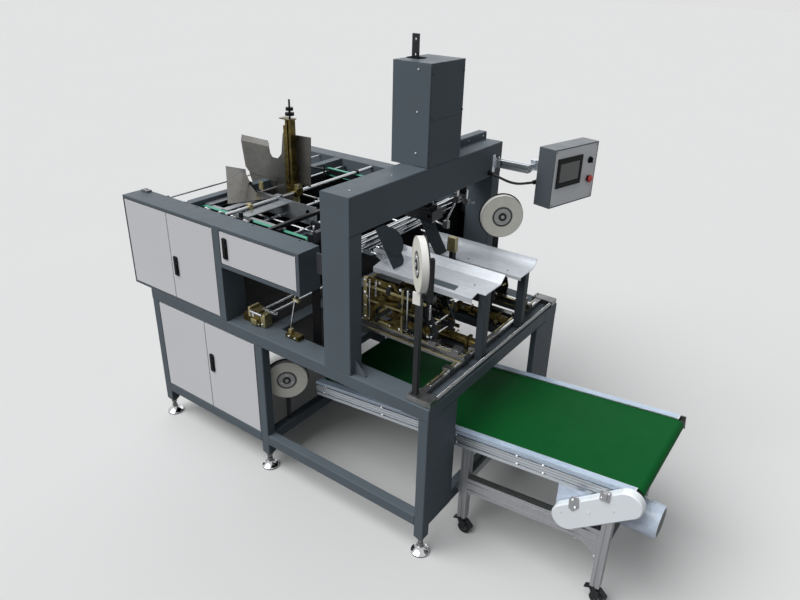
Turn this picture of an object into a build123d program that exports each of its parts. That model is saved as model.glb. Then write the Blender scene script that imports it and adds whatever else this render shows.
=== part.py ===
from build123d import *
import os
from math import atan2, cos, degrees, radians, sin, sqrt, tan

# Corner pasting machine. Millimetres, +Z up, floor at z = 0.
# +X runs to the discharge end with the belt conveyor, -Y is the operator side
# with the white doors. The origin is the middle of the whole outline on the floor.

# Driving dimensions of the base
END_X = 526.5
FRONT_Y = -736.5
BASE_LENGTH = 1813
BASE_DEPTH = 1235
DECK_TOP = 808
BEAM_HEIGHT = 65
BEAM_WIDTH = 116
END_BEAM_WIDTH = 76
POST = 50
LEG_BOTTOM = 100
STRETCHER_LOW = 160
STRETCHER_TOP = 217
BAY_SPLIT = 968
SHEET = 3

LEFT_X = END_X - BASE_LENGTH
REAR_Y = FRONT_Y + BASE_DEPTH
MIDDLE_POST_X = END_X - BAY_SPLIT - POST
BEAM_LOW = DECK_TOP - BEAM_HEIGHT

# Upper housing with the white doors, and the feeder frame behind it
HOUSING_LEFT = END_X - 1946
HOUSING_RIGHT = END_X - 695
HOUSING_SPLIT = END_X - 1207
HOUSING_DEPTH = 132
HOUSING_TOP = 1305
SIDE_BOX_LOW = 1101
FEEDER_REAR = FRONT_Y + 1411
REAR_BEAM_WIDTH = 104

# Gantry and press tower
GANTRY_LEFT = END_X - 563
GANTRY_RIGHT = END_X - 412
COLUMN_DEPTH = 80
GANTRY_LOW = 1449
GANTRY_TOP = 1615
TOWER_LEFT = END_X - 612
TOWER_FRONT = FRONT_Y + 538
TOWER_REAR = FRONT_Y + 807
TOWER_TOP = 2060
PRESS_X = END_X - 512
PRESS_Y = FRONT_Y + 672

# Doors
DOOR_THICK = 18
DOOR_GAP = 5
PIN_INSET = 6
PIN_RADIUS = 4
PIN_REACH = 6
FIT = 0.05

# Tape reels
REEL_RADIUS = 106
REEL_WIDTH = 26
REEL_BORE = 20

# Conveyor
SLOPE = 5.6
RAIL_TOP_AT_END = 570
RAIL_HEIGHT = 80
RAIL_WIDTH = 38
BELT_WIDTH = 549
CONVEYOR_FRONT = FRONT_Y + 233
CONVEYOR_START = -846
CONVEYOR_END = 797

os.makedirs("parts", exist_ok=True)


def block(x, y, z, mode=Mode.ADD):
    """Add a rectangular block between two corners to the part being built."""
    with BuildSketch(Plane.XY.offset(z[0])) as outline:
        with Locations(((x[0] + x[1]) / 2, (y[0] + y[1]) / 2)):
            Rectangle(x[1] - x[0], y[1] - y[0])
    extrude(outline.sketch, amount=z[1] - z[0], mode=mode)


def rod_y(x, z, y, radius, mode=Mode.ADD):
    """Add a round bar that runs along Y."""
    with BuildSketch(Plane.XZ.offset(-y[0])) as outline:
        with Locations((x, z)):
            Circle(radius)
    extrude(outline.sketch, amount=-(y[1] - y[0]), mode=mode)


def rod_z(x, y, z, radius, mode=Mode.ADD):
    """Add an upright round bar."""
    with BuildSketch(Plane.XY.offset(z[0])) as outline:
        with Locations((x, y)):
            Circle(radius)
    extrude(outline.sketch, amount=z[1] - z[0], mode=mode)


def bar(x, y, z, along, edge=3, mode=Mode.ADD):
    """Add a tube or flat between two corners, with bevelled edges along one axis."""
    if along == "x":
        plane, middle = Plane.YZ.offset(x[0]), ((y[0] + y[1]) / 2, (z[0] + z[1]) / 2)
        size, run = (y[1] - y[0], z[1] - z[0]), x[1] - x[0]
    elif along == "y":
        plane, middle = Plane.XZ.offset(-y[0]), ((x[0] + x[1]) / 2, (z[0] + z[1]) / 2)
        size, run = (x[1] - x[0], z[1] - z[0]), -(y[1] - y[0])
    else:
        plane, middle = Plane.XY.offset(z[0]), ((x[0] + x[1]) / 2, (y[0] + y[1]) / 2)
        size, run = (x[1] - x[0], y[1] - y[0]), z[1] - z[0]
    with BuildSketch(plane) as section:
        with Locations(middle):
            Rectangle(size[0], size[1])
        chamfer(section.vertices(), edge)
    extrude(section.sketch, amount=run, mode=mode)


def side_plate(points, y, thick, mode=Mode.ADD):
    """Add a plate that stands along X, outlined by points given as x and z."""
    with BuildSketch(Plane.XZ.offset(-y)) as outline:
        with BuildLine():
            Polyline(*points, close=True)
        make_face()
    extrude(outline.sketch, amount=-thick, mode=mode)


def rod_x(y, z, x, radius, mode=Mode.ADD):
    """Add a round bar that runs along X."""
    with BuildSketch(Plane.YZ.offset(x[0])) as outline:
        with Locations((y, z)):
            Circle(radius)
    extrude(outline.sketch, amount=x[1] - x[0], mode=mode)


def save(piece, label):
    piece.part.label = label
    export_step(piece.part, f"parts/{label}.step")


# Doors: where they hang, needed early for the bores of their pins
LOWER_DOORS_X = (LEFT_X + POST + DOOR_GAP, MIDDLE_POST_X - DOOR_GAP)
LOWER_DOORS_Z = (STRETCHER_TOP + DOOR_GAP, BEAM_LOW - DOOR_GAP)
LOWER_SEAM = (LOWER_DOORS_X[0] + LOWER_DOORS_X[1]) / 2
UPPER_DOORS_X = (HOUSING_LEFT + 12, HOUSING_SPLIT - 47)
UPPER_DOORS_Z = (822, 1285)
UPPER_SEAM = (UPPER_DOORS_X[0] + UPPER_DOORS_X[1]) / 2
SIDE_DOOR_X = (HOUSING_SPLIT + 6, HOUSING_RIGHT - 20)
SIDE_DOOR_Z = (1124, 1285)
PIN_Y = FRONT_Y + PIN_INSET
LOWER_PINS = (LOWER_DOORS_X[0] + PIN_INSET, LOWER_DOORS_X[1] - PIN_INSET)
UPPER_PINS = (UPPER_DOORS_X[0] + PIN_INSET, UPPER_DOORS_X[1] - PIN_INSET)
SIDE_PIN = SIDE_DOOR_X[1] - PIN_INSET


def pin_bores(pins, z):
    """Cut the bores for hinge pins above and below a door."""
    for pin in pins:
        low, high = z[0] - DOOR_GAP, z[1] + DOOR_GAP
        rod_z(pin, PIN_Y, (low - PIN_REACH - 1, low), PIN_RADIUS + FIT, Mode.SUBTRACT)
        rod_z(pin, PIN_Y, (high, high + PIN_REACH + 1), PIN_RADIUS + FIT, Mode.SUBTRACT)


# Base frame: two long deck beams, cross beams, posts and stretchers
FRONT_BEAM_Y = (FRONT_Y, FRONT_Y + BEAM_WIDTH)
REAR_BEAM_Y = (REAR_Y - BEAM_WIDTH, REAR_Y)
BETWEEN_BEAMS = (FRONT_BEAM_Y[1], REAR_BEAM_Y[0])

with BuildPart() as deck_long_beams:
    for y in (FRONT_BEAM_Y, REAR_BEAM_Y):
        bar((LEFT_X, END_X), y, (BEAM_LOW, DECK_TOP), "x", 4)
    pin_bores(LOWER_PINS, LOWER_DOORS_Z)
save(deck_long_beams, "deck_long_beams")

CROSS_BEAM_X = (LEFT_X, MIDDLE_POST_X, END_X - END_BEAM_WIDTH)
with BuildPart() as deck_cross_beams:
    for x in CROSS_BEAM_X:
        bar((x, x + END_BEAM_WIDTH), BETWEEN_BEAMS, (BEAM_LOW, DECK_TOP), "y", 4)
save(deck_cross_beams, "deck_cross_beams")

POST_X = (LEFT_X, MIDDLE_POST_X)
POST_Y = (FRONT_Y, REAR_Y - POST)

# The discharge end stands on two wide legs: a post with a sheet box beside it
LEG_PANEL = 172
LEG_PANEL_THICK = 30
END_LEG_Y = (
    ((FRONT_Y, FRONT_Y + POST), (FRONT_Y + POST, FRONT_Y + POST + LEG_PANEL)),
    ((REAR_Y - POST, REAR_Y), (REAR_Y - POST - LEG_PANEL, REAR_Y - POST)),
)
with BuildPart() as base_posts:
    for x in POST_X:
        for y in POST_Y:
            bar((x, x + POST), (y, y + POST), (LEG_BOTTOM, BEAM_LOW), "z")
    for post_y, panel_y in END_LEG_Y:
        bar((END_X - POST, END_X), post_y, (LEG_BOTTOM, BEAM_LOW), "z")
        block((END_X - LEG_PANEL_THICK, END_X), (panel_y[0] - 5, panel_y[1] + 5), (STRETCHER_LOW, BEAM_LOW))
save(base_posts, "base_posts")

STRETCHER_Z = (STRETCHER_LOW, STRETCHER_TOP)
END_STRETCHER_Y = (END_LEG_Y[0][1][1] + 5, END_LEG_Y[1][1][0] - 5)
with BuildPart() as base_stretchers:
    for y in POST_Y:
        bar((LEFT_X + POST, MIDDLE_POST_X), (y, y + POST), STRETCHER_Z, "x")
        bar((MIDDLE_POST_X + POST, END_X - POST), (y, y + POST), STRETCHER_Z, "x")
    for x in (LEFT_X, MIDDLE_POST_X):
        bar((x, x + POST), (FRONT_Y + POST, REAR_Y - POST), STRETCHER_Z, "y")
    bar((END_X - POST, END_X), END_STRETCHER_Y, STRETCHER_Z, "y")
    pin_bores(LOWER_PINS, LOWER_DOORS_Z)
save(base_stretchers, "base_stretchers")

# Levelling feet under all six legs: pad, stepped cup and stem
FOOT_RADIUS = 44
STEM_RADIUS = 8
with BuildPart() as leveling_feet:
    for x in (LEFT_X + POST / 2, MIDDLE_POST_X + POST / 2, END_X - POST / 2):
        for y in (FRONT_Y + POST / 2, REAR_Y - POST / 2):
            for low, high, radius, sides in (
                (0, 8, FOOT_RADIUS, 28), (8, 14, 32, 24), (14, 20, 18, 18), (20, LEG_BOTTOM, STEM_RADIUS, 14),
            ):
                with BuildSketch(Plane.XY.offset(low)) as ring:
                    with Locations((x, y)):
                        RegularPolygon(radius, sides)
                extrude(ring.sketch, amount=high - low)
save(leveling_feet, "leveling_feet")

# Sheets that close the back and the left end of the lower bay, with folded edges
with BuildPart() as lower_panels:
    block((LEFT_X + POST, MIDDLE_POST_X), (REAR_Y - 12 - SHEET, REAR_Y - 12), (STRETCHER_TOP, BEAM_LOW))
    block((LEFT_X + 12, LEFT_X + 12 + SHEET), (FRONT_Y + POST, REAR_Y - POST), (STRETCHER_TOP, BEAM_LOW))
save(lower_panels, "lower_panels")

# White doors: folded sheet trays with pivot pins, flush with the front of their frames
SEAM_HALF = 2.5
TRAY_SHEET = 2


def door_leaf(x, z, pin, label):
    """A sheet tray with its open side to the back, on two pins."""
    with BuildPart() as leaf:
        block(x, (FRONT_Y, FRONT_Y + DOOR_THICK), z)
        back = leaf.faces().sort_by(Axis.Y)[-1]
        offset(amount=-TRAY_SHEET, openings=back)
        for low in (z[0] - DOOR_GAP - PIN_REACH, z[1]):
            rod_z(pin, PIN_Y, (low, low + DOOR_GAP + PIN_REACH), PIN_RADIUS)
    save(leaf, label)


door_leaf((LOWER_DOORS_X[0], LOWER_SEAM - SEAM_HALF), LOWER_DOORS_Z, LOWER_PINS[0], "lower_door_left")
door_leaf((LOWER_SEAM + SEAM_HALF, LOWER_DOORS_X[1]), LOWER_DOORS_Z, LOWER_PINS[1], "lower_door_right")
door_leaf((UPPER_DOORS_X[0], UPPER_SEAM - SEAM_HALF), UPPER_DOORS_Z, UPPER_PINS[0], "upper_door_left")
door_leaf((UPPER_SEAM + SEAM_HALF, UPPER_DOORS_X[1]), UPPER_DOORS_Z, UPPER_PINS[1], "upper_door_right")
door_leaf(SIDE_DOOR_X, SIDE_DOOR_Z, SIDE_PIN, "side_door")

# Swing-handle panel locks, one on each door that closes over another
LOCK_WIDTH = 30
LOCK_HEIGHT = 105
LOCK_PROUD = 6


def door_lock(x, z, label):
    with BuildPart() as lock:
        with BuildSketch(Plane.XZ.offset(-FRONT_Y)):
            with Locations((x, z)):
                Rectangle(LOCK_WIDTH, LOCK_HEIGHT)
        extrude(amount=LOCK_PROUD)
        chamfer(lock.edges().filter_by(Axis.Y), 5)
        with BuildSketch(Plane.XZ.offset(-FRONT_Y + LOCK_PROUD)):
            with Locations((x, z - 18)):
                Rectangle(LOCK_WIDTH - 10, LOCK_HEIGHT - 52)
        extrude(amount=-3, mode=Mode.SUBTRACT)
        with BuildSketch(Plane.XZ.offset(-FRONT_Y + LOCK_PROUD - 3)):
            with Locations((x, z - 16)):
                Rectangle(LOCK_WIDTH - 16, LOCK_HEIGHT - 58)
            with Locations((x, z + 30)):
                RegularPolygon(8, 12)
        extrude(amount=6)
    save(lock, label)


door_lock(LOWER_SEAM + 36, 512, "lower_door_lock")
door_lock(UPPER_SEAM + 36, 1010, "upper_door_lock")
door_lock(SIDE_DOOR_X[0] + 34, 1207, "side_door_lock")

# Upper housing: a sheet cabinet open at the front behind the doors
with BuildPart() as upper_cabinet:
    block((HOUSING_LEFT, HOUSING_SPLIT), (FRONT_Y, FRONT_Y + HOUSING_DEPTH), (DECK_TOP, HOUSING_TOP))
    block(
        (UPPER_DOORS_X[0] - DOOR_GAP, UPPER_DOORS_X[1] + DOOR_GAP),
        (FRONT_Y, FRONT_Y + HOUSING_DEPTH - SHEET),
        (UPPER_DOORS_Z[0] - DOOR_GAP, UPPER_DOORS_Z[1] + DOOR_GAP),
        Mode.SUBTRACT,
    )
    pin_bores(UPPER_PINS, UPPER_DOORS_Z)
save(upper_cabinet, "upper_cabinet")

with BuildPart() as side_compartment:
    block((HOUSING_SPLIT, HOUSING_RIGHT), (FRONT_Y, FRONT_Y + HOUSING_DEPTH), (SIDE_BOX_LOW, HOUSING_TOP))
    block(
        (SIDE_DOOR_X[0] - DOOR_GAP, SIDE_DOOR_X[1] + DOOR_GAP),
        (FRONT_Y, FRONT_Y + HOUSING_DEPTH - SHEET),
        (SIDE_DOOR_Z[0] - DOOR_GAP, SIDE_DOOR_Z[1] + DOOR_GAP),
        Mode.SUBTRACT,
    )
    pin_bores((SIDE_PIN,), SIDE_DOOR_Z)
save(side_compartment, "side_compartment")

# Feeder frame behind the housing: rear beam, two cross beams on uprights
HOUSING_BACK = FRONT_Y + HOUSING_DEPTH
FEEDER_INNER = FEEDER_REAR - REAR_BEAM_WIDTH
CROSS_BARS = ((END_X - 1625, (1248, 1303)), (END_X - 1022, (1175, 1230)))
with BuildPart() as feeder_frame:
    block((HOUSING_LEFT, HOUSING_RIGHT), (FEEDER_INNER, FEEDER_REAR), (SIDE_BOX_LOW, HOUSING_TOP))
    for x, z in CROSS_BARS:
        block((x, x + POST), (HOUSING_BACK, FEEDER_INNER + 2), z)
        block((x, x + POST), (REAR_Y - POST, REAR_Y), (DECK_TOP, z[0] + 10))
save(feeder_frame, "feeder_frame")

# Feed belts on pulleys, carried by two cross shafts
BELT_LINE_Z = 1260
PULLEY_RADIUS = 20
FEED_BELT_THICK = 2
FEED_BELT_WIDTH = 22
PULLEY_X = (END_X - 1547, END_X - 845)
FEED_BELT_Y = (FRONT_Y + 195, FRONT_Y + 1139)
FEED_SPAN = PULLEY_X[1] - PULLEY_X[0]
FEED_MIDDLE = (PULLEY_X[0] + PULLEY_X[1]) / 2
CROSS_SHAFT_RADIUS = 8
with BuildPart() as feed_belts:
    for y in FEED_BELT_Y:
        with BuildSketch(Plane.XZ.offset(-y)) as loop:
            with Locations((FEED_MIDDLE, BELT_LINE_Z)):
                outer = 2 * (PULLEY_RADIUS + FEED_BELT_THICK)
                SlotCenterToCenter(FEED_SPAN, outer)
                SlotCenterToCenter(FEED_SPAN, 2 * PULLEY_RADIUS, mode=Mode.SUBTRACT)
        extrude(loop.sketch, amount=-FEED_BELT_WIDTH)
save(feed_belts, "feed_belts")

TABLE_X = (END_X - 1302, END_X - 1022)
TABLE_Z = (1302, 1305)
TABLE_FRONT_Y = (FRONT_Y + 247, FRONT_Y + 503)
TABLE_REAR_Y = (FRONT_Y + 841, FRONT_Y + 1097)
TABLE_BAR_X = (TABLE_X[1], TABLE_X[1] + 20)
NIP_X = END_X - 745
NIP_Z = 1290
NIP_RADIUS = 34
PULLEY_TEETH = 22
with BuildPart() as feed_guides:
    for y in FEED_BELT_Y:
        for x in PULLEY_X:
            with BuildSketch(Plane.XZ.offset(-y - 1)) as pulley:
                with Locations((x, BELT_LINE_Z)):
                    RegularPolygon(PULLEY_RADIUS - FIT, PULLEY_TEETH)
            extrude(pulley.sketch, amount=-(FEED_BELT_WIDTH - 2))
            rod_y(x, BELT_LINE_Z, (y + 1, y + FEED_BELT_WIDTH - 1), CROSS_SHAFT_RADIUS, Mode.SUBTRACT)
        block(
            (PULLEY_X[0] + PULLEY_RADIUS + 6, PULLEY_X[1] - PULLEY_RADIUS - 6),
            (y + 3, y + FEED_BELT_WIDTH - 3),
            (BELT_LINE_Z - 16, BELT_LINE_Z + 16),
        )
    for y in (FRONT_Y + 165, FRONT_Y + 1158):
        rod_y(NIP_X, NIP_Z, (y, y + 22), NIP_RADIUS)
        rod_y(NIP_X, NIP_Z, (y, y + 22), CROSS_SHAFT_RADIUS, Mode.SUBTRACT)
    block(TABLE_BAR_X, (HOUSING_BACK, TABLE_FRONT_Y[1]), (1288, 1306))
    block(TABLE_BAR_X, (TABLE_REAR_Y[0], FEEDER_INNER), (1288, 1306))
save(feed_guides, "feed_guides")

# Bright bars across the feeder: guide bar, thin bar and the shafts of belts and nip wheels
GUIDE_SHAFT_X = END_X - 1333
GUIDE_SHAFT_Z = 1292
THIN_BAR_X = END_X - 1760
SHAFTS = (
    (GUIDE_SHAFT_X, GUIDE_SHAFT_Z, 10), (THIN_BAR_X, 1292, 5), (END_X - 1285, 1216, 8),
    (PULLEY_X[0], BELT_LINE_Z, CROSS_SHAFT_RADIUS), (PULLEY_X[1], BELT_LINE_Z, CROSS_SHAFT_RADIUS),
    (NIP_X, NIP_Z, CROSS_SHAFT_RADIUS),
)
with BuildPart() as feeder_shafts:
    for x, z, radius in SHAFTS:
        rod_y(x, z, (HOUSING_BACK, FEEDER_INNER), radius)
save(feeder_shafts, "feeder_shafts")

# Feeder bed: flat slats beside the belt, and the tall side guide they run up to
GUIDE_Y = FRONT_Y + 500
SLAT_Z = (1278, 1284)
SLATS = ((1572, 1530), (1442, 1400), (1318, 1248))
with BuildPart() as feeder_tables:
    with BuildSketch(Plane.XZ.offset(-GUIDE_Y)) as guide:
        with BuildLine():
            Polyline(
                (END_X - 1562, 1407), (END_X - 1720, 1395), (END_X - 1720, 1200), (END_X - 1632, 1200),
                (END_X - 1632, 1308), (END_X - 1568, 1308), (END_X - 1568, 1268), (END_X - 1526, 1268),
                (END_X - 1526, 1200), (END_X - 1049, 1200), (END_X - 1049, 1302), (END_X - 1480, 1304),
            )
            ThreePointArc((END_X - 1480, 1304), (END_X - 1535, 1335), (END_X - 1562, 1407))
        make_face()
        with Locations((END_X - 1110, 1262)):
            Circle(16, mode=Mode.SUBTRACT)
    extrude(guide.sketch, amount=-SHEET)
    clamp_y = (GUIDE_Y + SHEET - 1, GUIDE_Y + 28)
    block((GUIDE_SHAFT_X - 20, GUIDE_SHAFT_X + 20), clamp_y, (1270, 1308))
    rod_y(GUIDE_SHAFT_X, GUIDE_SHAFT_Z, (GUIDE_Y, clamp_y[1]), 10, Mode.SUBTRACT)
    rod_y(END_X - 1285, 1216, (GUIDE_Y, GUIDE_Y + SHEET), 8, Mode.SUBTRACT)
    block((END_X - 1575, END_X - 1010), (FRONT_Y + 222, FRONT_Y + 246), (1270, SLAT_Z[0]))
    block((END_X - 1022, END_X - 1010), (FRONT_Y + 222, FRONT_Y + 246), (1230, 1271))
    for left, right in SLATS:
        block((END_X - left, END_X - right), (FRONT_Y + 222, GUIDE_Y + 1), SLAT_Z)
save(feeder_tables, "feeder_tables")

# Hopper: a notched back plate with a flared lip, behind a clamped column
HOPPER_Y = FRONT_Y + 690
LIP_Z = 1492
LIP_TILT = 35
LIP_REACH = 34
with BuildPart() as hopper_plate:
    side_plate(
        (
            (END_X - 1775, 1344), (END_X - 1797, LIP_Z), (END_X - 1573, LIP_Z), (END_X - 1566, 1458),
            (END_X - 1550, 1438), (END_X - 1506, 1438), (END_X - 1476, 1470), (END_X - 1458, 1586),
            (END_X - 1253, 1594), (END_X - 1265, 1322), (END_X - 1375, 1322), (END_X - 1375, 1215),
            (END_X - 1530, 1215), (END_X - 1530, 1306), (END_X - 1680, 1306), (END_X - 1740, 1312),
        ),
        HOPPER_Y, SHEET,
    )
    lip_plane = Plane(
        origin=(END_X - 1700, HOPPER_Y + SHEET / 2, LIP_Z - 1),
        x_dir=(1, 0, 0),
        z_dir=(0, -cos(radians(LIP_TILT)), sin(radians(LIP_TILT))),
    )
    with BuildSketch(lip_plane):
        with BuildLine():
            Polyline((-97, 0), (-110, LIP_REACH), (98, LIP_REACH), (116, LIP_REACH - 14), (127, 0), close=True)
        make_face()
    extrude(amount=SHEET / 2, both=True)
save(hopper_plate, "hopper_plate")

COLUMN_X = END_X - 1365
COLUMN_Y = FRONT_Y + 656
COLUMN_HALF = 19
COLUMN_Z = (1312, 1677)
with BuildPart() as hopper_column:
    block(
        (COLUMN_X - COLUMN_HALF, COLUMN_X + COLUMN_HALF), (COLUMN_Y - COLUMN_HALF, COLUMN_Y + COLUMN_HALF), COLUMN_Z
    )
    block((COLUMN_X - 6, COLUMN_X + 6), (COLUMN_Y - COLUMN_HALF, COLUMN_Y - COLUMN_HALF + 8), (1330, 1677), Mode.SUBTRACT)
    block((COLUMN_X - COLUMN_HALF - 14, COLUMN_X - COLUMN_HALF), (COLUMN_Y - 19, COLUMN_Y - 5), (1312, 1645))
    block((COLUMN_X - 56, COLUMN_X + 24), (COLUMN_Y - 24, COLUMN_Y + 24), (1677, 1682))
    block((COLUMN_X - 24, GUIDE_SHAFT_X + 20), (COLUMN_Y - 24, COLUMN_Y + 24), (1272, 1312))
    rod_y(GUIDE_SHAFT_X, GUIDE_SHAFT_Z, (COLUMN_Y - 24, COLUMN_Y + 24), 10, Mode.SUBTRACT)
    for z in (1400, 1560):
        block((COLUMN_X - 19, COLUMN_X + 19), (COLUMN_Y + COLUMN_HALF - 2, HOPPER_Y), (z, z + 24))
save(hopper_column, "hopper_column")

# Hand knobs on the column and clamp levers on the side guide
with BuildPart() as hopper_knobs:
    rod_z(COLUMN_X, COLUMN_Y, (1682, 1780), 5)
    for z, radius in ((1698, 24), (1724, 20)):
        with BuildSketch(Plane.XY.offset(z)) as knob:
            with Locations((COLUMN_X, COLUMN_Y)):
                RegularPolygon(radius, 15)
        extrude(knob.sketch, amount=15)
    for x, z in ((END_X - 1554, 1299), (END_X - 1462, 1292)):
        block((x - 8, x + 8), (GUIDE_Y - 22, GUIDE_Y), (z - 8, z + 8))
        side_plate(
            ((x - 8, z - 4), (x + 4, z + 8), (x - 46, z + 58), (x - 56, z + 50)),
            GUIDE_Y - 22, 9,
        )
save(hopper_knobs, "hopper_knobs")

# Gantry: two sheet columns under one box beam
GANTRY_X = (GANTRY_LEFT, GANTRY_RIGHT)
COLUMN_FRONT_Y = (FRONT_Y, FRONT_Y + COLUMN_DEPTH)
COLUMN_REAR_Y = (REAR_Y - COLUMN_DEPTH, REAR_Y)
with BuildPart() as gantry_columns:
    for y in (COLUMN_FRONT_Y, COLUMN_REAR_Y):
        bar(GANTRY_X, y, (DECK_TOP, GANTRY_LOW), "z")
save(gantry_columns, "gantry_columns")

RAM_PROFILE = 60
RAM_CLEAR = 0.5
with BuildPart() as gantry_beam:
    bar(GANTRY_X, (FRONT_Y, REAR_Y), (GANTRY_LOW, GANTRY_TOP), "y")
    half = RAM_PROFILE / 2 + RAM_CLEAR
    block(
        (PRESS_X - half, PRESS_X + half),
        (PRESS_Y - half, PRESS_Y + half),
        (GANTRY_LOW, GANTRY_TOP),
        Mode.SUBTRACT,
    )
    block((GANTRY_LEFT + 4, END_X - 509), (TOWER_REAR, REAR_Y - 2), (GANTRY_TOP - 1, 1653))
    chamfer(gantry_beam.faces().sort_by(Axis.Z)[-1].edges().filter_by(Axis.Y), 4)
save(gantry_beam, "gantry_beam")

# Press tower: a sheet housing, open below, with a slot in its top for the flat bar
RAM_BAR_X = END_X - 578
RAM_BAR_Y = FRONT_Y + 656
RAM_BAR = (34, 10)
RAM_TOP = 2160
with BuildPart() as press_tower:
    block((TOWER_LEFT, GANTRY_RIGHT), (TOWER_FRONT, TOWER_REAR), (GANTRY_TOP, TOWER_TOP))
    floor_face = press_tower.faces().sort_by(Axis.Z)[0]
    offset(amount=-SHEET, openings=floor_face)
    with BuildSketch(Plane.XY.offset(TOWER_TOP - SHEET)):
        with Locations((RAM_BAR_X + 10, RAM_BAR_Y - 10)):
            RectangleRounded(64, 54, 6)
    extrude(amount=SHEET, mode=Mode.SUBTRACT)
save(press_tower, "press_tower")

# Press ram: carriage column through the gantry beam, flat bar above, press block below
RAM_HEAD_TOP = 1400
RAM_HEAD_LOW = 1330
RAM_COLUMN_TOP = 1900
RAM_LINK_Z = (1850, 1890)
with BuildPart() as press_ram:
    side = RAM_PROFILE / 2
    block((PRESS_X - side, PRESS_X + side), (PRESS_Y - side, PRESS_Y + side), (RAM_HEAD_TOP, RAM_COLUMN_TOP))
    with BuildSketch(Plane.XY.offset(RAM_HEAD_TOP)):
        with Locations((PRESS_X, PRESS_Y)):
            with PolarLocations(side, 4):
                with Locations((-3, 0)):
                    Rectangle(6, 10)
    extrude(amount=RAM_COLUMN_TOP - RAM_HEAD_TOP, mode=Mode.SUBTRACT)
    bar_y = (RAM_BAR_Y - RAM_BAR[1] / 2, RAM_BAR_Y + RAM_BAR[1] / 2)
    block((RAM_BAR_X - RAM_BAR[0] / 2, RAM_BAR_X + RAM_BAR[0] / 2), bar_y, (RAM_LINK_Z[0], RAM_TOP))
    block((RAM_BAR_X, PRESS_X - RAM_PROFILE / 2 + 1), bar_y, RAM_LINK_Z)
    with BuildSketch(Plane.XZ.offset(-bar_y[0])):
        with Locations((RAM_BAR_X, RAM_TOP - 22), (RAM_BAR_X, RAM_TOP - 86)):
            Circle(6)
    extrude(amount=-RAM_BAR[1], mode=Mode.SUBTRACT)
save(press_ram, "press_ram")

# The head drops between the two chutes, so it is slim
HEAD_HALF = 45
with BuildPart() as press_head:
    block((PRESS_X - 80, PRESS_X + 80), (PRESS_Y - HEAD_HALF, PRESS_Y + HEAD_HALF), (RAM_HEAD_LOW, RAM_HEAD_TOP - 14))
    chamfer(press_head.faces().sort_by(Axis.Z)[0].edges(), 8)
    block((PRESS_X - 50, PRESS_X + 50), (PRESS_Y - 40, PRESS_Y + 40), (RAM_HEAD_TOP - 14, RAM_HEAD_TOP))
    for turn in (-1, 1):
        rod_y(PRESS_X + turn * 60, RAM_HEAD_TOP - 40, (PRESS_Y - HEAD_HALF, PRESS_Y + HEAD_HALF), 10, Mode.SUBTRACT)
save(press_head, "press_head")

# Bright rollers between the gantry columns, in plates bolted to the columns
ROLLER_X = END_X - 625
ROLLER_Z = (1232, 1258, 1284)
ROLLER_PLATE_Y = (FRONT_Y + 60, REAR_Y - 68)
with BuildPart() as transfer_rollers:
    for y in ROLLER_PLATE_Y:
        block((ROLLER_X - 22, GANTRY_LEFT), (y, y + 8), (1210, 1306))
    for z in ROLLER_Z:
        rod_y(ROLLER_X, z, (ROLLER_PLATE_Y[0] + 7, ROLLER_PLATE_Y[1] + 1), 10)
save(transfer_rollers, "transfer_rollers")

# Forming station: a folded front chute and a coved rear chute, with slanted guide shields
CHUTE_LOW = 1140
CHUTE_FLOOR = CHUTE_LOW + 12
CHUTE_X = (END_X - 600, END_X - 22)
CHUTE_FRONT_Y = (FRONT_Y + 395, FRONT_Y + 620)
CHUTE_REAR_Y = (FRONT_Y + 783, FRONT_Y + 954)
CHUTE_SHEET = 4
CHUTE_SLOPE = 60
REAR_FLOOR = 1112
REAR_CREST = 1152


def chute_section(turned, raised):
    """A folded trough: turned-down edge, sloped shoulder, flat floor and raised lip."""
    return (
        (turned, CHUTE_LOW - 25), (turned, CHUTE_LOW), (turned + CHUTE_SLOPE, CHUTE_FLOOR),
        (raised - 40, CHUTE_FLOOR), (raised, CHUTE_LOW + 45), (raised, CHUTE_LOW + 39),
        (raised - 37, CHUTE_FLOOR - CHUTE_SHEET), (turned + CHUTE_SLOPE, CHUTE_FLOOR - CHUTE_SHEET),
        (turned + CHUTE_SHEET, CHUTE_LOW - CHUTE_SHEET), (turned + CHUTE_SHEET, CHUTE_LOW - 25),
    )


def cove(low_y, floor, top_y, crest):
    """Middle point of a cove that leaves the floor level and rises ever more steeply."""
    return (low_y + (top_y - low_y) * 0.62, floor + (crest - floor) * 0.24)


with BuildPart() as guide_chutes:
    with BuildSketch(Plane.YZ.offset(CHUTE_X[0])) as front_section:
        with BuildLine():
            Polyline(*chute_section(*CHUTE_FRONT_Y), close=True)
        make_face()
    extrude(front_section.sketch, amount=CHUTE_X[1] - CHUTE_X[0])
    with BuildSketch(Plane.YZ.offset(CHUTE_X[0])) as rear_section:
        with BuildLine():
            near, far = CHUTE_REAR_Y
            bend = near + 104
            under = REAR_FLOOR - CHUTE_SHEET
            Polyline((bend, under), (near + 4, under), (near + 4, under - 12), (near, under - 12))
            Polyline((near, under - 12), (near, REAR_FLOOR), (bend, REAR_FLOOR))
            ThreePointArc((bend, REAR_FLOOR), cove(bend, REAR_FLOOR, far - 4, REAR_CREST), (far - 4, REAR_CREST))
            Line((far - 4, REAR_CREST), (far, REAR_CREST))
            ThreePointArc((far, REAR_CREST), cove(bend, under, far, REAR_CREST), (bend, under))
        make_face()
    extrude(rear_section.sketch, amount=CHUTE_X[1] - CHUTE_X[0])
    block((END_X - 62, END_X), (FRONT_Y + 380, FRONT_Y + 446), (CHUTE_LOW - 30, CHUTE_FLOOR + 4), Mode.SUBTRACT)
    block((END_X - 290, END_X - 160), (FRONT_Y + 412, FRONT_Y + 452), (CHUTE_LOW - 10, CHUTE_FLOOR + 4), Mode.SUBTRACT)
save(guide_chutes, "guide_chutes")

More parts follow.
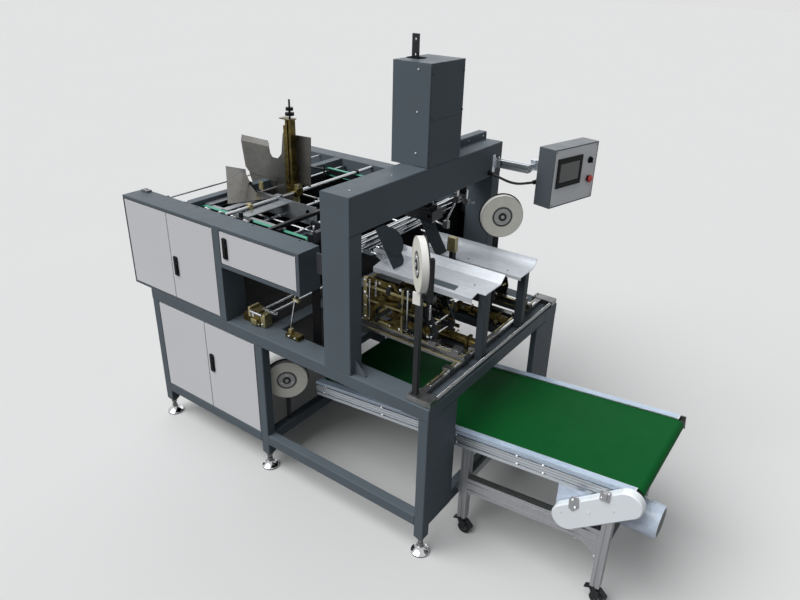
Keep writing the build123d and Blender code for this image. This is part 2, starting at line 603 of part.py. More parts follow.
# Shields: sheets with rounded upper corners that slant down onto the chutes
SHIELD_TOP = (END_X - 600, 1326)
SHIELD_WIDTH = 96
SHIELD_CORNER = 36
with BuildPart() as shield_plates:
    for y, foot in (
        (FRONT_Y + 454, (END_X - 490, CHUTE_FLOOR)),
        (FRONT_Y + 786, (END_X - 470, REAR_FLOOR)),
    ):
        run = (foot[0] - SHIELD_TOP[0], foot[1] - SHIELD_TOP[1])
        reach = sqrt(run[0] ** 2 + run[1] ** 2)
        along = (run[0] / reach, 0, run[1] / reach)
        shield_plane = Plane(origin=(SHIELD_TOP[0], y, SHIELD_TOP[1]), x_dir=along, z_dir=(-along[2], 0, along[0]))
        with BuildSketch(shield_plane) as sheet:
            with Locations((reach / 2, 0)):
                Rectangle(reach, SHIELD_WIDTH)
            fillet(sheet.vertices().sort_by(Axis.Z)[-2:], SHIELD_CORNER)
        extrude(sheet.sketch, amount=SHEET)
    block((END_X - 520, END_X - 460), (FRONT_Y + 400, FRONT_Y + 520), (CHUTE_FLOOR - 6, CHUTE_FLOOR), Mode.SUBTRACT)
save(shield_plates, "shield_plates")

# Beams of the forming bed, and the two uprights under the chutes at the discharge end
BED_Z = (768, 800)
BED_CROSS_X = (END_X - 640, END_X - 590)
BED_Y = ((FRONT_Y + 470, FRONT_Y + 590), (FRONT_Y + 790, FRONT_Y + 910))
UPRIGHT_X = (END_X - 62, END_X - 22)
with BuildPart() as bed_beams:
    block(BED_CROSS_X, BETWEEN_BEAMS, (BED_Z[0], DECK_TOP))
    for y in BED_Y:
        block((BED_CROSS_X[1] - 1, END_X - END_BEAM_WIDTH), y, BED_Z)
    bar(UPRIGHT_X, (FRONT_Y + 456, FRONT_Y + 500), (DECK_TOP, CHUTE_FLOOR - CHUTE_SHEET), "z", 3)
    bar(UPRIGHT_X, (FRONT_Y + 840, FRONT_Y + 882), (DECK_TOP, REAR_FLOOR - CHUTE_SHEET), "z", 3)
save(bed_beams, "bed_beams")

# Plated slide rails along both sides of the bed, and the screw along the end beam
SLIDE_X = (END_X - 640, END_X - 54)
SLIDE_Y = ((FRONT_Y + 335, FRONT_Y + 400), (FRONT_Y + 980, FRONT_Y + 1045))
END_RAIL_TOP = DECK_TOP + 25
SLIDE_TOP = END_RAIL_TOP + 38
SCREW_X = END_X - 12
SCREW_Z = DECK_TOP + 16
with BuildPart() as slide_rails:
    for y in SLIDE_Y:
        with BuildSketch(Plane.YZ.offset(SLIDE_X[0])) as step:
            with BuildLine():
                Polyline(
                    (y[0], END_RAIL_TOP), (y[1], END_RAIL_TOP), (y[1], END_RAIL_TOP + 12),
                    (y[1] - 8, END_RAIL_TOP + 12), (y[1] - 8, END_RAIL_TOP + 24), (y[1] - 14, END_RAIL_TOP + 24),
                    (y[1] - 14, SLIDE_TOP), (y[0] + 16, SLIDE_TOP), (y[0] + 16, SLIDE_TOP - 10),
                    (y[0] + 22, SLIDE_TOP - 10), (y[0] + 22, END_RAIL_TOP + 18), (y[0] + 10, END_RAIL_TOP + 18),
                    (y[0] + 10, END_RAIL_TOP + 12), (y[0], END_RAIL_TOP + 12), close=True,
                )
            make_face()
        extrude(step.sketch, amount=SLIDE_X[1] - SLIDE_X[0])
        block((SLIDE_X[0], SLIDE_X[0] + 50), y, (DECK_TOP, END_RAIL_TOP + 1))
    rod_y(SCREW_X, SCREW_Z, (FRONT_Y + 8, REAR_Y - 8), 8)
save(slide_rails, "slide_rails")

# Forming mechanism under each chute: cut-out side plates with pins and rollers between them
HEAD_X = (END_X - 605, END_X - 395)
HEAD_Z = (SLIDE_TOP, 1105)
PLATE = 8


def head_plate(y):
    """A side plate with a bevelled window and a slanted shoulder."""
    with BuildSketch(Plane.XZ.offset(-y)) as plate:
        with BuildLine():
            Polyline(
                (HEAD_X[0], HEAD_Z[0]), (HEAD_X[1], HEAD_Z[0]), (HEAD_X[1], HEAD_Z[1] - 90),
                (HEAD_X[1] - 50, HEAD_Z[1]), (HEAD_X[0], HEAD_Z[1]), close=True,
            )
        make_face()
        with BuildSketch(mode=Mode.PRIVATE) as window:
            with Locations(((HEAD_X[0] + HEAD_X[1]) / 2 - 10, HEAD_Z[0] + 70)):
                Rectangle(110, 76)
            chamfer(window.vertices(), 12)
        add(window.sketch, mode=Mode.SUBTRACT)
    extrude(plate.sketch, amount=-PLATE)


HEAD_Y = ((FRONT_Y + 355, FRONT_Y + 530), (FRONT_Y + 842, FRONT_Y + 1017))
with BuildPart() as forming_frames:
    for near, far in HEAD_Y:
        for y in (near, far):
            head_plate(y)
        for z in (HEAD_Z[0] + 6, HEAD_Z[1] - 16):
            for x in (HEAD_X[0] + 4, HEAD_X[1] - 62):
                block((x, x + 14), (near + PLATE - 1, far + 1), (z, z + 10))
        top, at = (CHUTE_FLOOR, far - 60) if far < PRESS_Y else (REAR_FLOOR, far - 160)
        block((HEAD_X[0] + 20, HEAD_X[0] + 44), (at, at + 24), (HEAD_Z[1] - 10, top - CHUTE_SHEET))
        block((HEAD_X[0] + 4, HEAD_X[0] + 130), (at, at + 24), (HEAD_Z[1] - 16, HEAD_Z[1] - 6))
    for y in SLIDE_Y:
        block(HEAD_X, (y[0] + 20, y[0] + 34), (SLIDE_TOP, SLIDE_TOP + 9))
save(forming_frames, "forming_frames")

# Rollers between the plates, and the pressure cylinders on the bed beams
with BuildPart() as head_rollers:
    for near, far in HEAD_Y:
        for x, z in ((HEAD_X[0] + 45, HEAD_Z[1] - 42), (HEAD_X[0] + 130, HEAD_Z[1] - 42)):
            rod_y(x, z, (near + PLATE, far), 20)
    for y in (FRONT_Y + 545, FRONT_Y + 835):
        rod_x(y, 832, (END_X - 380, END_X - 96), 22)
        for x in (END_X - 380, END_X - 150):
            block((x, x + 14), (y - 26, y + 26), (BED_Z[1], 858))
save(head_rollers, "head_rollers")

# Rail along the discharge end beam, with the end blocks that hold its screw
with BuildPart() as end_rails:
    block((END_X - 96, END_X - 64), (FRONT_Y + 65, REAR_Y - 65), (DECK_TOP, END_RAIL_TOP))
    for y in (FRONT_Y + 8, REAR_Y - 65):
        block((END_X - 116, END_X - 2), (y, y + 57), (DECK_TOP, DECK_TOP + 28))
        rod_y(SCREW_X, SCREW_Z, (y, y + 57), 8, Mode.SUBTRACT)
save(end_rails, "end_rails")

# Linkage in the open bay below the side compartment
LINK_BLOCK_X = (END_X - 1100, END_X - 1035)
LINK_BLOCK_Y = (FRONT_Y + 60, FRONT_Y + 116)
with BuildPart() as bay_linkage:
    block(LINK_BLOCK_X, LINK_BLOCK_Y, (DECK_TOP, DECK_TOP + 84))
    block((LINK_BLOCK_X[0] - 60, LINK_BLOCK_X[0]), (LINK_BLOCK_Y[0] + 8, LINK_BLOCK_Y[1] - 8), (DECK_TOP, DECK_TOP + 40))
    block((END_X - 872, END_X - 790), (FRONT_Y + 70, FRONT_Y + 108), (DECK_TOP, DECK_TOP + 24))
    rod_y(END_X - 1068, DECK_TOP + 62, (LINK_BLOCK_Y[0] - 12, REAR_BEAM_Y[0] + 40), 9)
    block((END_X - 1088, END_X - 1048), (REAR_BEAM_Y[0] + 4, REAR_BEAM_Y[0] + 40), (DECK_TOP, DECK_TOP + 60))
    rod_foot = (END_X - 860, FRONT_Y + 90, DECK_TOP + 24)
    rod_head = (END_X - 800, FRONT_Y + 90, SIDE_BOX_LOW)
    lean = Vector(*rod_head) - Vector(*rod_foot)
    with BuildSketch(Plane(origin=rod_foot, z_dir=lean)):
        Circle(4)
    extrude(amount=lean.length - 2)
save(bay_linkage, "bay_linkage")

# Tape reels: wound tape between flanges, on a bored hub
REELS = {
    "tape_reel_front_right": ((END_X - 66, FRONT_Y - 6.3, 1437), 45),
    "tape_reel_rear_right": ((END_X - 235, FRONT_Y + 950, 1325), -45),
    "tape_reel_front_left": ((END_X - 957, FRONT_Y + 142, 498), -45),
    "tape_reel_rear_left": ((END_X - 957, REAR_Y - 142, 498), 45),
}
REEL_HALF = REEL_WIDTH / 2


def reel_plane(center, turn):
    """Plane at the reel's middle whose normal is its axle."""
    return Plane(origin=center, x_dir=(0, 0, 1), z_dir=(cos(radians(turn)), sin(radians(turn)), 0))


for label, (center, turn) in REELS.items():
    with BuildPart() as reel:
        with BuildSketch(reel_plane(center, turn).offset(-REEL_HALF)):
            Circle(REEL_RADIUS)
            Circle(REEL_BORE, mode=Mode.SUBTRACT)
        extrude(amount=REEL_WIDTH)
    save(reel, label)

# Brackets: each axle runs through its reel into a post behind it; the front one is cranked
AXLE_RADIUS = REEL_BORE - FIT
STAND = 11
REEL_BACK = {
    "tape_reel_front_right": (1, 42, 1282),
    "tape_reel_rear_right": (-1, 60, SLIDE_TOP),
    "tape_reel_front_left": (-1, 60, STRETCHER_TOP),
    "tape_reel_rear_left": (-1, 60, STRETCHER_TOP),
}
with BuildPart() as tape_brackets:
    for label, (center, turn) in REELS.items():
        way, reach, foot = REEL_BACK[label]
        axis_plane = reel_plane(center, turn)
        with BuildSketch(axis_plane.offset(-way * (REEL_HALF + 4))) as axle:
            Circle(AXLE_RADIUS)
        extrude(axle.sketch, amount=way * (reach + REEL_HALF + 4 - STAND))
        stand = axis_plane.from_local_coords(Vector(0, 0, way * reach))
        with BuildSketch(Plane.XY.offset(foot)) as post:
            with Locations(Location((stand.X, stand.Y, 0), (0, 0, turn))):
                Rectangle(2 * STAND, 2 * STAND)
        extrude(post.sketch, amount=stand.Z + 20 - foot)
    block((END_X - 106, END_X - 22), (FRONT_Y + 22, FRONT_Y + 48), (1282, 1300))
    block((END_X - 103, END_X - 81), (FRONT_Y + 24, FRONT_Y + 46), (DECK_TOP + 28, 1283))
save(tape_brackets, "tape_brackets")

# Control panel on an arm from the gantry
PANEL_TURN = -13.6
PANEL_SIZE = (360, 300, 100)
PANEL_CORNER = (END_X - 95, FRONT_Y + 1190, 1629)
panel_plane = Plane(
    origin=PANEL_CORNER,
    x_dir=(-sin(radians(PANEL_TURN)), cos(radians(PANEL_TURN)), 0),
    z_dir=(cos(radians(PANEL_TURN)), sin(radians(PANEL_TURN)), 0),
)
PANEL_MIDDLE = (PANEL_SIZE[0] / 2, -PANEL_SIZE[1] / 2)
PANEL_RIM = 6
with BuildPart() as panel_box:
    with BuildSketch(panel_plane):
        with Locations(PANEL_MIDDLE):
            Rectangle(PANEL_SIZE[0], PANEL_SIZE[1])
    extrude(amount=-PANEL_SIZE[2])
    with BuildSketch(panel_plane):
        with Locations(PANEL_MIDDLE):
            Rectangle(PANEL_SIZE[0] - 2 * PANEL_RIM, PANEL_SIZE[1] - 2 * PANEL_RIM)
    extrude(amount=-3, mode=Mode.SUBTRACT)
save(panel_box, "panel_box")

with BuildPart() as panel_face:
    with BuildSketch(panel_plane.offset(-3)):
        with Locations(PANEL_MIDDLE):
            Rectangle(PANEL_SIZE[0] - 2 * PANEL_RIM - 1, PANEL_SIZE[1] - 2 * PANEL_RIM - 1)
        with Locations((130, -125)):
            Rectangle(200, 150, mode=Mode.SUBTRACT)
    extrude(amount=3)
save(panel_face, "panel_face")

# Screen bezel with a sunk screen, and the selector beside it
with BuildPart() as panel_controls:
    with BuildSketch(panel_plane.offset(-3)):
        with Locations((130, -125)):
            Rectangle(200, 150)
    extrude(amount=9)
    with BuildSketch(panel_plane.offset(6)):
        with Locations((130, -125)):
            Rectangle(160, 98)
    extrude(amount=-2, mode=Mode.SUBTRACT)
    with BuildSketch(panel_plane):
        with Locations((300, -90)):
            Circle(15)
    extrude(amount=8)
    with BuildSketch(panel_plane.offset(8)):
        with Locations((300, -90)):
            Rectangle(8, 24)
    extrude(amount=10)
save(panel_controls, "panel_controls")

with BuildPart() as emergency_stop:
    with BuildSketch(panel_plane):
        with Locations((305, -190)):
            Circle(14)
    extrude(amount=14)
    with BuildSketch(panel_plane.offset(14)):
        with Locations((305, -190)):
            Circle(20)
    extrude(amount=12)
save(emergency_stop, "emergency_stop")

# Slotted aluminium profile: the same section serves the panel arm and the conveyor
T_MOUTH = 8
T_WIDE = 17
T_DEEP = 11
T_LIP = 3.5


def t_slots(places):
    """Cut T slots from a profile section; each place is a mouth's middle and its turn."""
    for at, turn in places:
        with Locations(Location((at[0], at[1], 0), (0, 0, turn))):
            with Locations((0, -T_LIP / 2)):
                Rectangle(T_MOUTH, T_LIP, mode=Mode.SUBTRACT)
            with Locations((0, -(T_LIP + T_DEEP) / 2)):
                Rectangle(T_WIDE, T_DEEP - T_LIP, mode=Mode.SUBTRACT)


ARM_SIZE = 40
PIVOT_REACH = 95
ARM_Z = 1518
ARM_Y = FRONT_Y + 1175
PIVOT_X = END_X - 235
PIVOT_Y = ARM_Y + PIVOT_REACH
with BuildPart() as panel_arm:
    with BuildSketch(Plane.YZ.offset(GANTRY_RIGHT)):
        with Locations((ARM_Y, ARM_Z)):
            Rectangle(ARM_SIZE, ARM_SIZE)
            half = ARM_SIZE / 2
            t_slots((((0, half), 0), ((0, -half), 180), ((half, 0), -90), ((-half, 0), 90)))
    extrude(amount=PIVOT_X + half - GANTRY_RIGHT)
    block((GANTRY_RIGHT, GANTRY_RIGHT + 8), (ARM_Y - 45, ARM_Y - 20), (ARM_Z - 45, ARM_Z + 45))
    block((GANTRY_RIGHT, GANTRY_RIGHT + 40), (ARM_Y - 28, ARM_Y - 20), (ARM_Z - 20, ARM_Z + 20))
    block((PIVOT_X - 20, PIVOT_X + 20), (ARM_Y + 20, PIVOT_Y), (ARM_Z - 15, ARM_Z + 15))
    rod_z(PIVOT_X, PIVOT_Y, (ARM_Z - 26, ARM_Z + 26), 22)
    with BuildSketch(panel_plane.offset(-PANEL_SIZE[2])) as mount:
        with Locations((60, ARM_Z - PANEL_CORNER[2])):
            Rectangle(90, 80)
    extrude(mount.sketch, amount=-8)
    with BuildSketch(panel_plane.offset(-PANEL_SIZE[2] - 7)) as neck:
        with Locations((60, ARM_Z - PANEL_CORNER[2])):
            Rectangle(40, 30)
    extrude(neck.sketch, amount=-24)
save(panel_arm, "panel_arm")

# Panel cable: from a gland on the gantry column, sagging below the arm, to a gland on the panel's back
CABLE_RADIUS = 6.5
CABLE_POINTS = (
    (GANTRY_RIGHT + 22, FRONT_Y + 1112, 1470),
    (GANTRY_RIGHT + 62, FRONT_Y + 1116, 1461),
    (GANTRY_RIGHT + 104, FRONT_Y + 1132, 1443),
    (GANTRY_RIGHT + 142, FRONT_Y + 1160, 1433),
    (GANTRY_RIGHT + 172, FRONT_Y + 1192, 1434),
    (GANTRY_RIGHT + 200, FRONT_Y + 1222, 1438),
)


def cord_radii(points):
    """Arc radius at each inner point: 0.45 of the shorter run over the tangent of half the turn."""
    radii = []
    for before, here, after in zip(points, points[1:], points[2:]):
        into, out = Vector(*here) - Vector(*before), Vector(*after) - Vector(*here)
        turn = radians(into.get_angle(out))
        radii.append(0.45 * min(into.length, out.length) / tan(turn / 2))
    return radii


CABLE_RADII = cord_radii(CABLE_POINTS)
print("panel cable radii", [round(r) for r in CABLE_RADII])
with BuildPart() as panel_cable:
    with BuildLine() as route:
        FilletPolyline(*CABLE_POINTS, radius=CABLE_RADII)
    cable_start = Vector(*CABLE_POINTS[0])
    with BuildSketch(Plane(origin=cable_start, z_dir=Vector(*CABLE_POINTS[1]) - cable_start)):
        Circle(CABLE_RADIUS)
    sweep(path=route.wires()[0])
print("panel cable volume ratio", panel_cable.part.volume / (3.14159 * CABLE_RADIUS ** 2 * route.wires()[0].length))
print("panel cable length", round(route.wires()[0].length))
save(panel_cable, "panel_cable")

with BuildPart() as cable_glands:
    for at, towards, seat in (
        (CABLE_POINTS[0], CABLE_POINTS[1], GANTRY_RIGHT),
        (CABLE_POINTS[-1], CABLE_POINTS[-2], None),
    ):
        inward = Vector(*at) - Vector(*towards)
        with BuildSketch(Plane(origin=at, z_dir=inward)) as gland:
            Circle(11)
        extrude(gland.sketch, amount=14)
        with BuildSketch(Plane(origin=at, z_dir=inward).offset(14)) as collar:
            RegularPolygon(14, 6)
        extrude(collar.sketch, amount=14 if seat is None else 30)
    block((GANTRY_RIGHT - 60, GANTRY_RIGHT), (ARM_Y - 90, ARM_Y), (1400, 1560), Mode.SUBTRACT)
    with BuildSketch(panel_plane.offset(-PANEL_SIZE[2])) as wall:
        with Locations(PANEL_MIDDLE):
            Rectangle(*PANEL_SIZE[:2])
    extrude(wall.sketch, amount=60, mode=Mode.SUBTRACT)
save(cable_glands, "cable_glands")

# Belt conveyor, rising towards its outlet
belt_dir = (cos(radians(SLOPE)), 0, sin(radians(SLOPE)))
rail_origin = (END_X, CONVEYOR_FRONT, RAIL_TOP_AT_END)
side_plane = Plane(origin=rail_origin, x_dir=belt_dir, z_dir=(0, -1, 0))
BELT_FRONT = CONVEYOR_FRONT + RAIL_WIDTH
BELT_REAR = BELT_FRONT + BELT_WIDTH
CONVEYOR_REAR = BELT_REAR + RAIL_WIDTH
CONVEYOR_LENGTH = CONVEYOR_END - CONVEYOR_START
CONVEYOR_MID = (CONVEYOR_END + CONVEYOR_START) / 2

BELT_THICK = 3
DRUM_RADIUS = 24
BELT_DROP = 6
DRUM_AT = (CONVEYOR_START + 26, CONVEYOR_END - 2)
DRUM_LOW = -BELT_DROP - DRUM_RADIUS - BELT_THICK
DRUM_AXLE = 9
start = side_plane.from_local_coords(Vector(CONVEYOR_START, 0, 0))
section_plane = Plane(origin=start, x_dir=(0, 1, 0), z_dir=belt_dir)
with BuildPart() as conveyor_rails:
    for y, outer in ((RAIL_WIDTH / 2, -1), (RAIL_WIDTH * 1.5 + BELT_WIDTH, 1)):
        with BuildSketch(section_plane) as profile:
            with Locations((y, -RAIL_HEIGHT / 2)):
                Rectangle(RAIL_WIDTH, RAIL_HEIGHT)
                side = outer * RAIL_WIDTH / 2
                turn = -90 * outer
                t_slots((((side, 20), turn), ((side, -20), turn), ((0, -RAIL_HEIGHT / 2), 180)))
        extrude(profile.sketch, amount=CONVEYOR_LENGTH)
    with BuildSketch(side_plane) as bore:
        with Locations((DRUM_AT[1], DRUM_LOW)):
            Circle(DRUM_AXLE)
    extrude(bore.sketch, amount=-(2 * RAIL_WIDTH + BELT_WIDTH), mode=Mode.SUBTRACT)
save(conveyor_rails, "conveyor_rails")

with BuildPart() as conveyor_belt:
    with BuildSketch(side_plane.offset(-RAIL_WIDTH - 1)):
        with Locations(((DRUM_AT[0] + DRUM_AT[1]) / 2, DRUM_LOW)):
            SlotCenterToCenter(DRUM_AT[1] - DRUM_AT[0], 2 * (DRUM_RADIUS + BELT_THICK))
            SlotCenterToCenter(DRUM_AT[1] - DRUM_AT[0], 2 * DRUM_RADIUS, mode=Mode.SUBTRACT)
    extrude(amount=-(BELT_WIDTH - 2))
save(conveyor_belt, "conveyor_belt")

# Drums with their axles, and a bearing plate on each rail end
with BuildPart() as conveyor_drums:
    for u in DRUM_AT:
        with BuildSketch(side_plane.offset(-RAIL_WIDTH - 2)) as drum:
            with Locations((u, DRUM_LOW)):
                Circle(DRUM_RADIUS - FIT)
        extrude(drum.sketch, amount=-(BELT_WIDTH - 4))
    with BuildSketch(side_plane.offset(5)) as axle:
        with Locations((DRUM_AT[1], DRUM_LOW)):
            Circle(DRUM_AXLE)
    extrude(axle.sketch, amount=-(2 * RAIL_WIDTH + BELT_WIDTH + 10))
    for y in (5, -2 * RAIL_WIDTH - BELT_WIDTH):
        with BuildSketch(side_plane.offset(y)) as plate:
            with Locations((CONVEYOR_END - 4, DRUM_LOW - 3)):
                Rectangle(52, 62)
        extrude(plate.sketch, amount=-5)
save(conveyor_drums, "conveyor_drums")

CASTER_TOP = 90
LEG_SIZE = 40
LEG_X = (END_X + 60, END_X + 717)
LEG_Y = (CONVEYOR_FRONT, CONVEYOR_REAR - RAIL_WIDTH)


def rail_low(x):
    """Height of the rail's underside at x."""
    return RAIL_TOP_AT_END + (x - END_X) * tan(radians(SLOPE)) - RAIL_HEIGHT / cos(radians(SLOPE))


with BuildPart() as conveyor_legs:
    for x in LEG_X:
        left, right = x - LEG_SIZE / 2, x + LEG_SIZE / 2
        for y in LEG_Y:
            side_plate(
                ((left, CASTER_TOP), (right, CASTER_TOP), (right, rail_low(right)), (left, rail_low(left))),
                y, RAIL_WIDTH,
            )
            with BuildSketch(Plane.XY.offset(CASTER_TOP)) as slots:
                with Locations((x, y + 2), (x, y + RAIL_WIDTH - 2)):
                    Rectangle(T_MOUTH, 4)
                with Locations((x - LEG_SIZE / 2 + 2, y + RAIL_WIDTH / 2), (x + LEG_SIZE / 2 - 2, y + RAIL_WIDTH / 2)):
                    Rectangle(4, T_MOUTH)
            extrude(slots.sketch, amount=500, mode=Mode.SUBTRACT)
save(conveyor_legs, "conveyor_legs")

# Stretchers: the long ones rise with the rails, the cross ones join the legs
STRETCHER_DROP = 240
CROSS_Z = (300, 340)


def drop(x, below):
    """Height of a line that runs below the rail's top, parallel to it."""
    return RAIL_TOP_AT_END + (x - END_X) * tan(radians(SLOPE)) - below / cos(radians(SLOPE))


with BuildPart() as conveyor_stretchers:
    left, right = LEG_X[0] + LEG_SIZE / 2, LEG_X[1] - LEG_SIZE / 2
    for y in LEG_Y:
        top = STRETCHER_DROP
        low = STRETCHER_DROP + RAIL_HEIGHT
        side_plate(
            ((left, drop(left, low)), (right, drop(right, low)), (right, drop(right, top)), (left, drop(left, top))),
            y, RAIL_WIDTH,
        )
        for shift in (20, 60):
            side_plate(
                (
                    (left, drop(left, top + shift + 4)), (right, drop(right, top + shift + 4)),
                    (right, drop(right, top + shift - 4)), (left, drop(left, top + shift - 4)),
                ),
                y if y == LEG_Y[0] else y + RAIL_WIDTH - 5, 5, Mode.SUBTRACT,
            )
    for x in LEG_X:
        block((x - LEG_SIZE / 2, x + LEG_SIZE / 2), (LEG_Y[0] + RAIL_WIDTH, LEG_Y[1]), CROSS_Z)
        block((x - 4, x + 4), (LEG_Y[0] + RAIL_WIDTH, LEG_Y[1]), (CROSS_Z[1] - 5, CROSS_Z[1]), Mode.SUBTRACT)
save(conveyor_stretchers, "conveyor_stretchers")

# Swivel casters with fork, wheel and brake pedal, all locked in place
WHEEL_RADIUS = 30
CASTER_OFFSET = 14
with BuildPart() as conveyor_casters:
    for x in LEG_X:
        for y in LEG_Y:
            middle = y + RAIL_WIDTH / 2
            with BuildSketch(Plane.XY.offset(70)) as swivel:
                with Locations((x, middle)):
                    RegularPolygon(17, 16)
            extrude(swivel.sketch, amount=CASTER_TOP - 70)
            side_plate(
                ((x - 18, 72), (x + 24, 72), (x + CASTER_OFFSET + 10, 24), (x + CASTER_OFFSET - 10, 24)),
                middle - 17, 34,
            )
            side_plate(((x - 30, 20), (x + 60, 20), (x + 60, 66), (x - 30, 66)), middle - 13, 26, Mode.SUBTRACT)
            with BuildSketch(Plane.XZ.offset(-middle + 11)) as wheel:
                with Locations((x + CASTER_OFFSET, WHEEL_RADIUS)):
                    RegularPolygon(WHEEL_RADIUS, 24, rotation=7.5, major_radius=False)
            extrude(wheel.sketch, amount=-22)
            block((x + 9, x + 19), (middle - 17, middle + 17), (WHEEL_RADIUS - 5, WHEEL_RADIUS + 5))
            side_plate(((x - 44, 58), (x - 14, 70), (x - 14, 78), (x - 44, 64)), middle - 12, 24)
save(conveyor_casters, "conveyor_casters")

# Drive: chain cover outside the front rail, its plate, gearbox and motor
SPROCKET_LOW = (END_X + 556, 417)
drum_axis = side_plane.from_local_coords(Vector(DRUM_AT[1], DRUM_LOW, 0))
SPROCKET_HIGH = (drum_axis.X - 8, drum_axis.Z - 6)
COVER_RADIUS = 58
COVER_DEPTH = 37
COVER_SPAN = sqrt((SPROCKET_HIGH[0] - SPROCKET_LOW[0]) ** 2 + (SPROCKET_HIGH[1] - SPROCKET_LOW[1]) ** 2)
COVER_TURN = degrees(atan2(SPROCKET_HIGH[1] - SPROCKET_LOW[1], SPROCKET_HIGH[0] - SPROCKET_LOW[0]))
COVER_MIDDLE = ((SPROCKET_HIGH[0] + SPROCKET_LOW[0]) / 2, (SPROCKET_HIGH[1] + SPROCKET_LOW[1]) / 2)
with BuildPart() as drive_cover:
    with BuildSketch(Plane.XZ.offset(-(CONVEYOR_FRONT - 5))):
        with Locations(COVER_MIDDLE):
            SlotCenterToCenter(COVER_SPAN, 2 * COVER_RADIUS, rotation=COVER_TURN)
    extrude(amount=COVER_DEPTH)
    chamfer(drive_cover.faces().sort_by(Axis.Y)[0].edges(), 5)
save(drive_cover, "drive_cover")

MOTOR_Y = CONVEYOR_FRONT + 112
MOTOR_Z = 470
GEARBOX_X = (END_X + 500, END_X + 612)
with BuildPart() as drive_motor:
    low_left, low_right = END_X + 498, END_X + 677
    side_plate(
        ((low_left, 400), (low_right, 420), (low_right, rail_low(low_right)), (low_left, rail_low(low_left))),
        CONVEYOR_FRONT, 6,
    )
    rod_y(SPROCKET_LOW[0], SPROCKET_LOW[1], (CONVEYOR_FRONT - 5, CONVEYOR_FRONT + 1), 30)
    rod_y(SPROCKET_LOW[0], SPROCKET_LOW[1], (CONVEYOR_FRONT + 5, CONVEYOR_FRONT + 43), 27)
    bar(GEARBOX_X, (CONVEYOR_FRONT + 42, CONVEYOR_FRONT + 180), (362, 520), "y", 16)
    rod_x(MOTOR_Y, MOTOR_Z, (GEARBOX_X[1] - 1, GEARBOX_X[1] + 18), 80)
    rod_x(MOTOR_Y, MOTOR_Z, (GEARBOX_X[1] + 18, END_X + 850), 66)
    rod_x(MOTOR_Y, MOTOR_Z, (END_X + 850, END_X + 893), 70)
    block((END_X + 690, END_X + 780), (MOTOR_Y - 40, MOTOR_Y + 40), (MOTOR_Z + 50, MOTOR_Z + 92))
save(drive_motor, "drive_motor")
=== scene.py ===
import bpy
import bmesh
import math
import random
from contextlib import contextmanager
from mathutils import Matrix, Vector


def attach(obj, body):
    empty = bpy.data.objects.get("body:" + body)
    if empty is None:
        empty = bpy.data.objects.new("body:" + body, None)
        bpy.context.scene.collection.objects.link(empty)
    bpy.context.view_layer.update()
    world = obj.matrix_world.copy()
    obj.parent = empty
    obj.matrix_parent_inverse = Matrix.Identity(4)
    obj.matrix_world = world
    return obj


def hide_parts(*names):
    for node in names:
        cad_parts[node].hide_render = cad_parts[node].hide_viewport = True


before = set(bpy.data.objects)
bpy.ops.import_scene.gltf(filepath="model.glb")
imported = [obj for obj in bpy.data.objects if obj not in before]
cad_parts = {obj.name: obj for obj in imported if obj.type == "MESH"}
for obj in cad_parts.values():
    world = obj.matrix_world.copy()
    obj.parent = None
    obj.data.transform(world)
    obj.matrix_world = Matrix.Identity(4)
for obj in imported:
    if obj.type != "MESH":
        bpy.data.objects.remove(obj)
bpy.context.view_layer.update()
chance = random.Random(5)

# The frame's own measures, in mm: x is told from the base's right end, y from its front face.
END_X = 526.5
FRONT_Y = -736.5
BASE_DEPTH = 1235
DECK_TOP = 808
TABLE_TOP = 801
FEEDER_LEFT = -1800
HOUSING_DEPTH = 132
HOUSING_TOP = 1305
BLOCK_TOP = 1316
GANTRY = (-563, -412)
GANTRY_TOP = 1615
SLIDE_TOP = 871
SLIDE_NEAR = (335, 980)
SLIDE_X = (-584, -58)
SLOPE = math.radians(5.6)
RAIL_TOP = 570
CONVEYOR_Y = (233, 858)
RAIL_WIDTH = 38
NEAR_RAIL = (CONVEYOR_Y[0], CONVEYOR_Y[0] + RAIL_WIDTH)
FAR_RAIL = (CONVEYOR_Y[1] - RAIL_WIDTH, CONVEYOR_Y[1])
CONVEYOR_U = (-846, 797)
LEG_NEAR = (240, 827)
CASTERS = [(x, y) for x in (60, 717) for y in LEG_NEAR]
MOTOR_Y = 345
MOTOR_Z = 470
REEL_RADIUS = 106
REEL_HALF = 13

# Each reel: its middle, the turn of its axle in degrees, and the bracket's side. The body it turns with
# has the reel's name without tape_.
REELS = {
    "tape_reel_front_right": ((-66, -6.3, 1437), 45, 1),
    "tape_reel_rear_right": ((-235, 950, 1325), -45, -1),
    "tape_reel_front_left": ((-957, 142, 498), -45, -1),
    "tape_reel_rear_left": ((-957, BASE_DEPTH - 142, 498), 45, -1),
}

X_WAY = Vector((1, 0, 0))
Y_WAY = Vector((0, 1, 0))
UP = Vector((0, 0, 1))


def level(degrees):
    """A level way, turned so far from +X."""
    angle = math.radians(degrees)
    return Vector((math.cos(angle), math.sin(angle), 0))


def P(x, y, z):
    """A point told from the right end and the front face, in mm, as metres in the frame."""
    return Vector(((END_X + x) / 1000, (FRONT_Y + y) / 1000, z / 1000))


def on_rail(u, v, y):
    """A point on the rising conveyor: u along its rails, v above their top, y across, in mm."""
    x = u * math.cos(SLOPE) - v * math.sin(SLOPE)
    return P(x, y, RAIL_TOP + u * math.sin(SLOPE) + v * math.cos(SLOPE))


PANEL_OUT = level(-13.6)
PANEL_ACROSS = UP.cross(PANEL_OUT)


def on_panel(u, v, w):
    """A point on the control panel: u across its face, v up, w out of it, in mm."""
    return P(-95, 1190, 1629) + (PANEL_ACROSS * u + UP * v + PANEL_OUT * w) / 1000


def place(name, data):
    """A new object in the scene."""
    made = bpy.data.objects.new(name, data)
    bpy.context.scene.collection.objects.link(made)
    return made


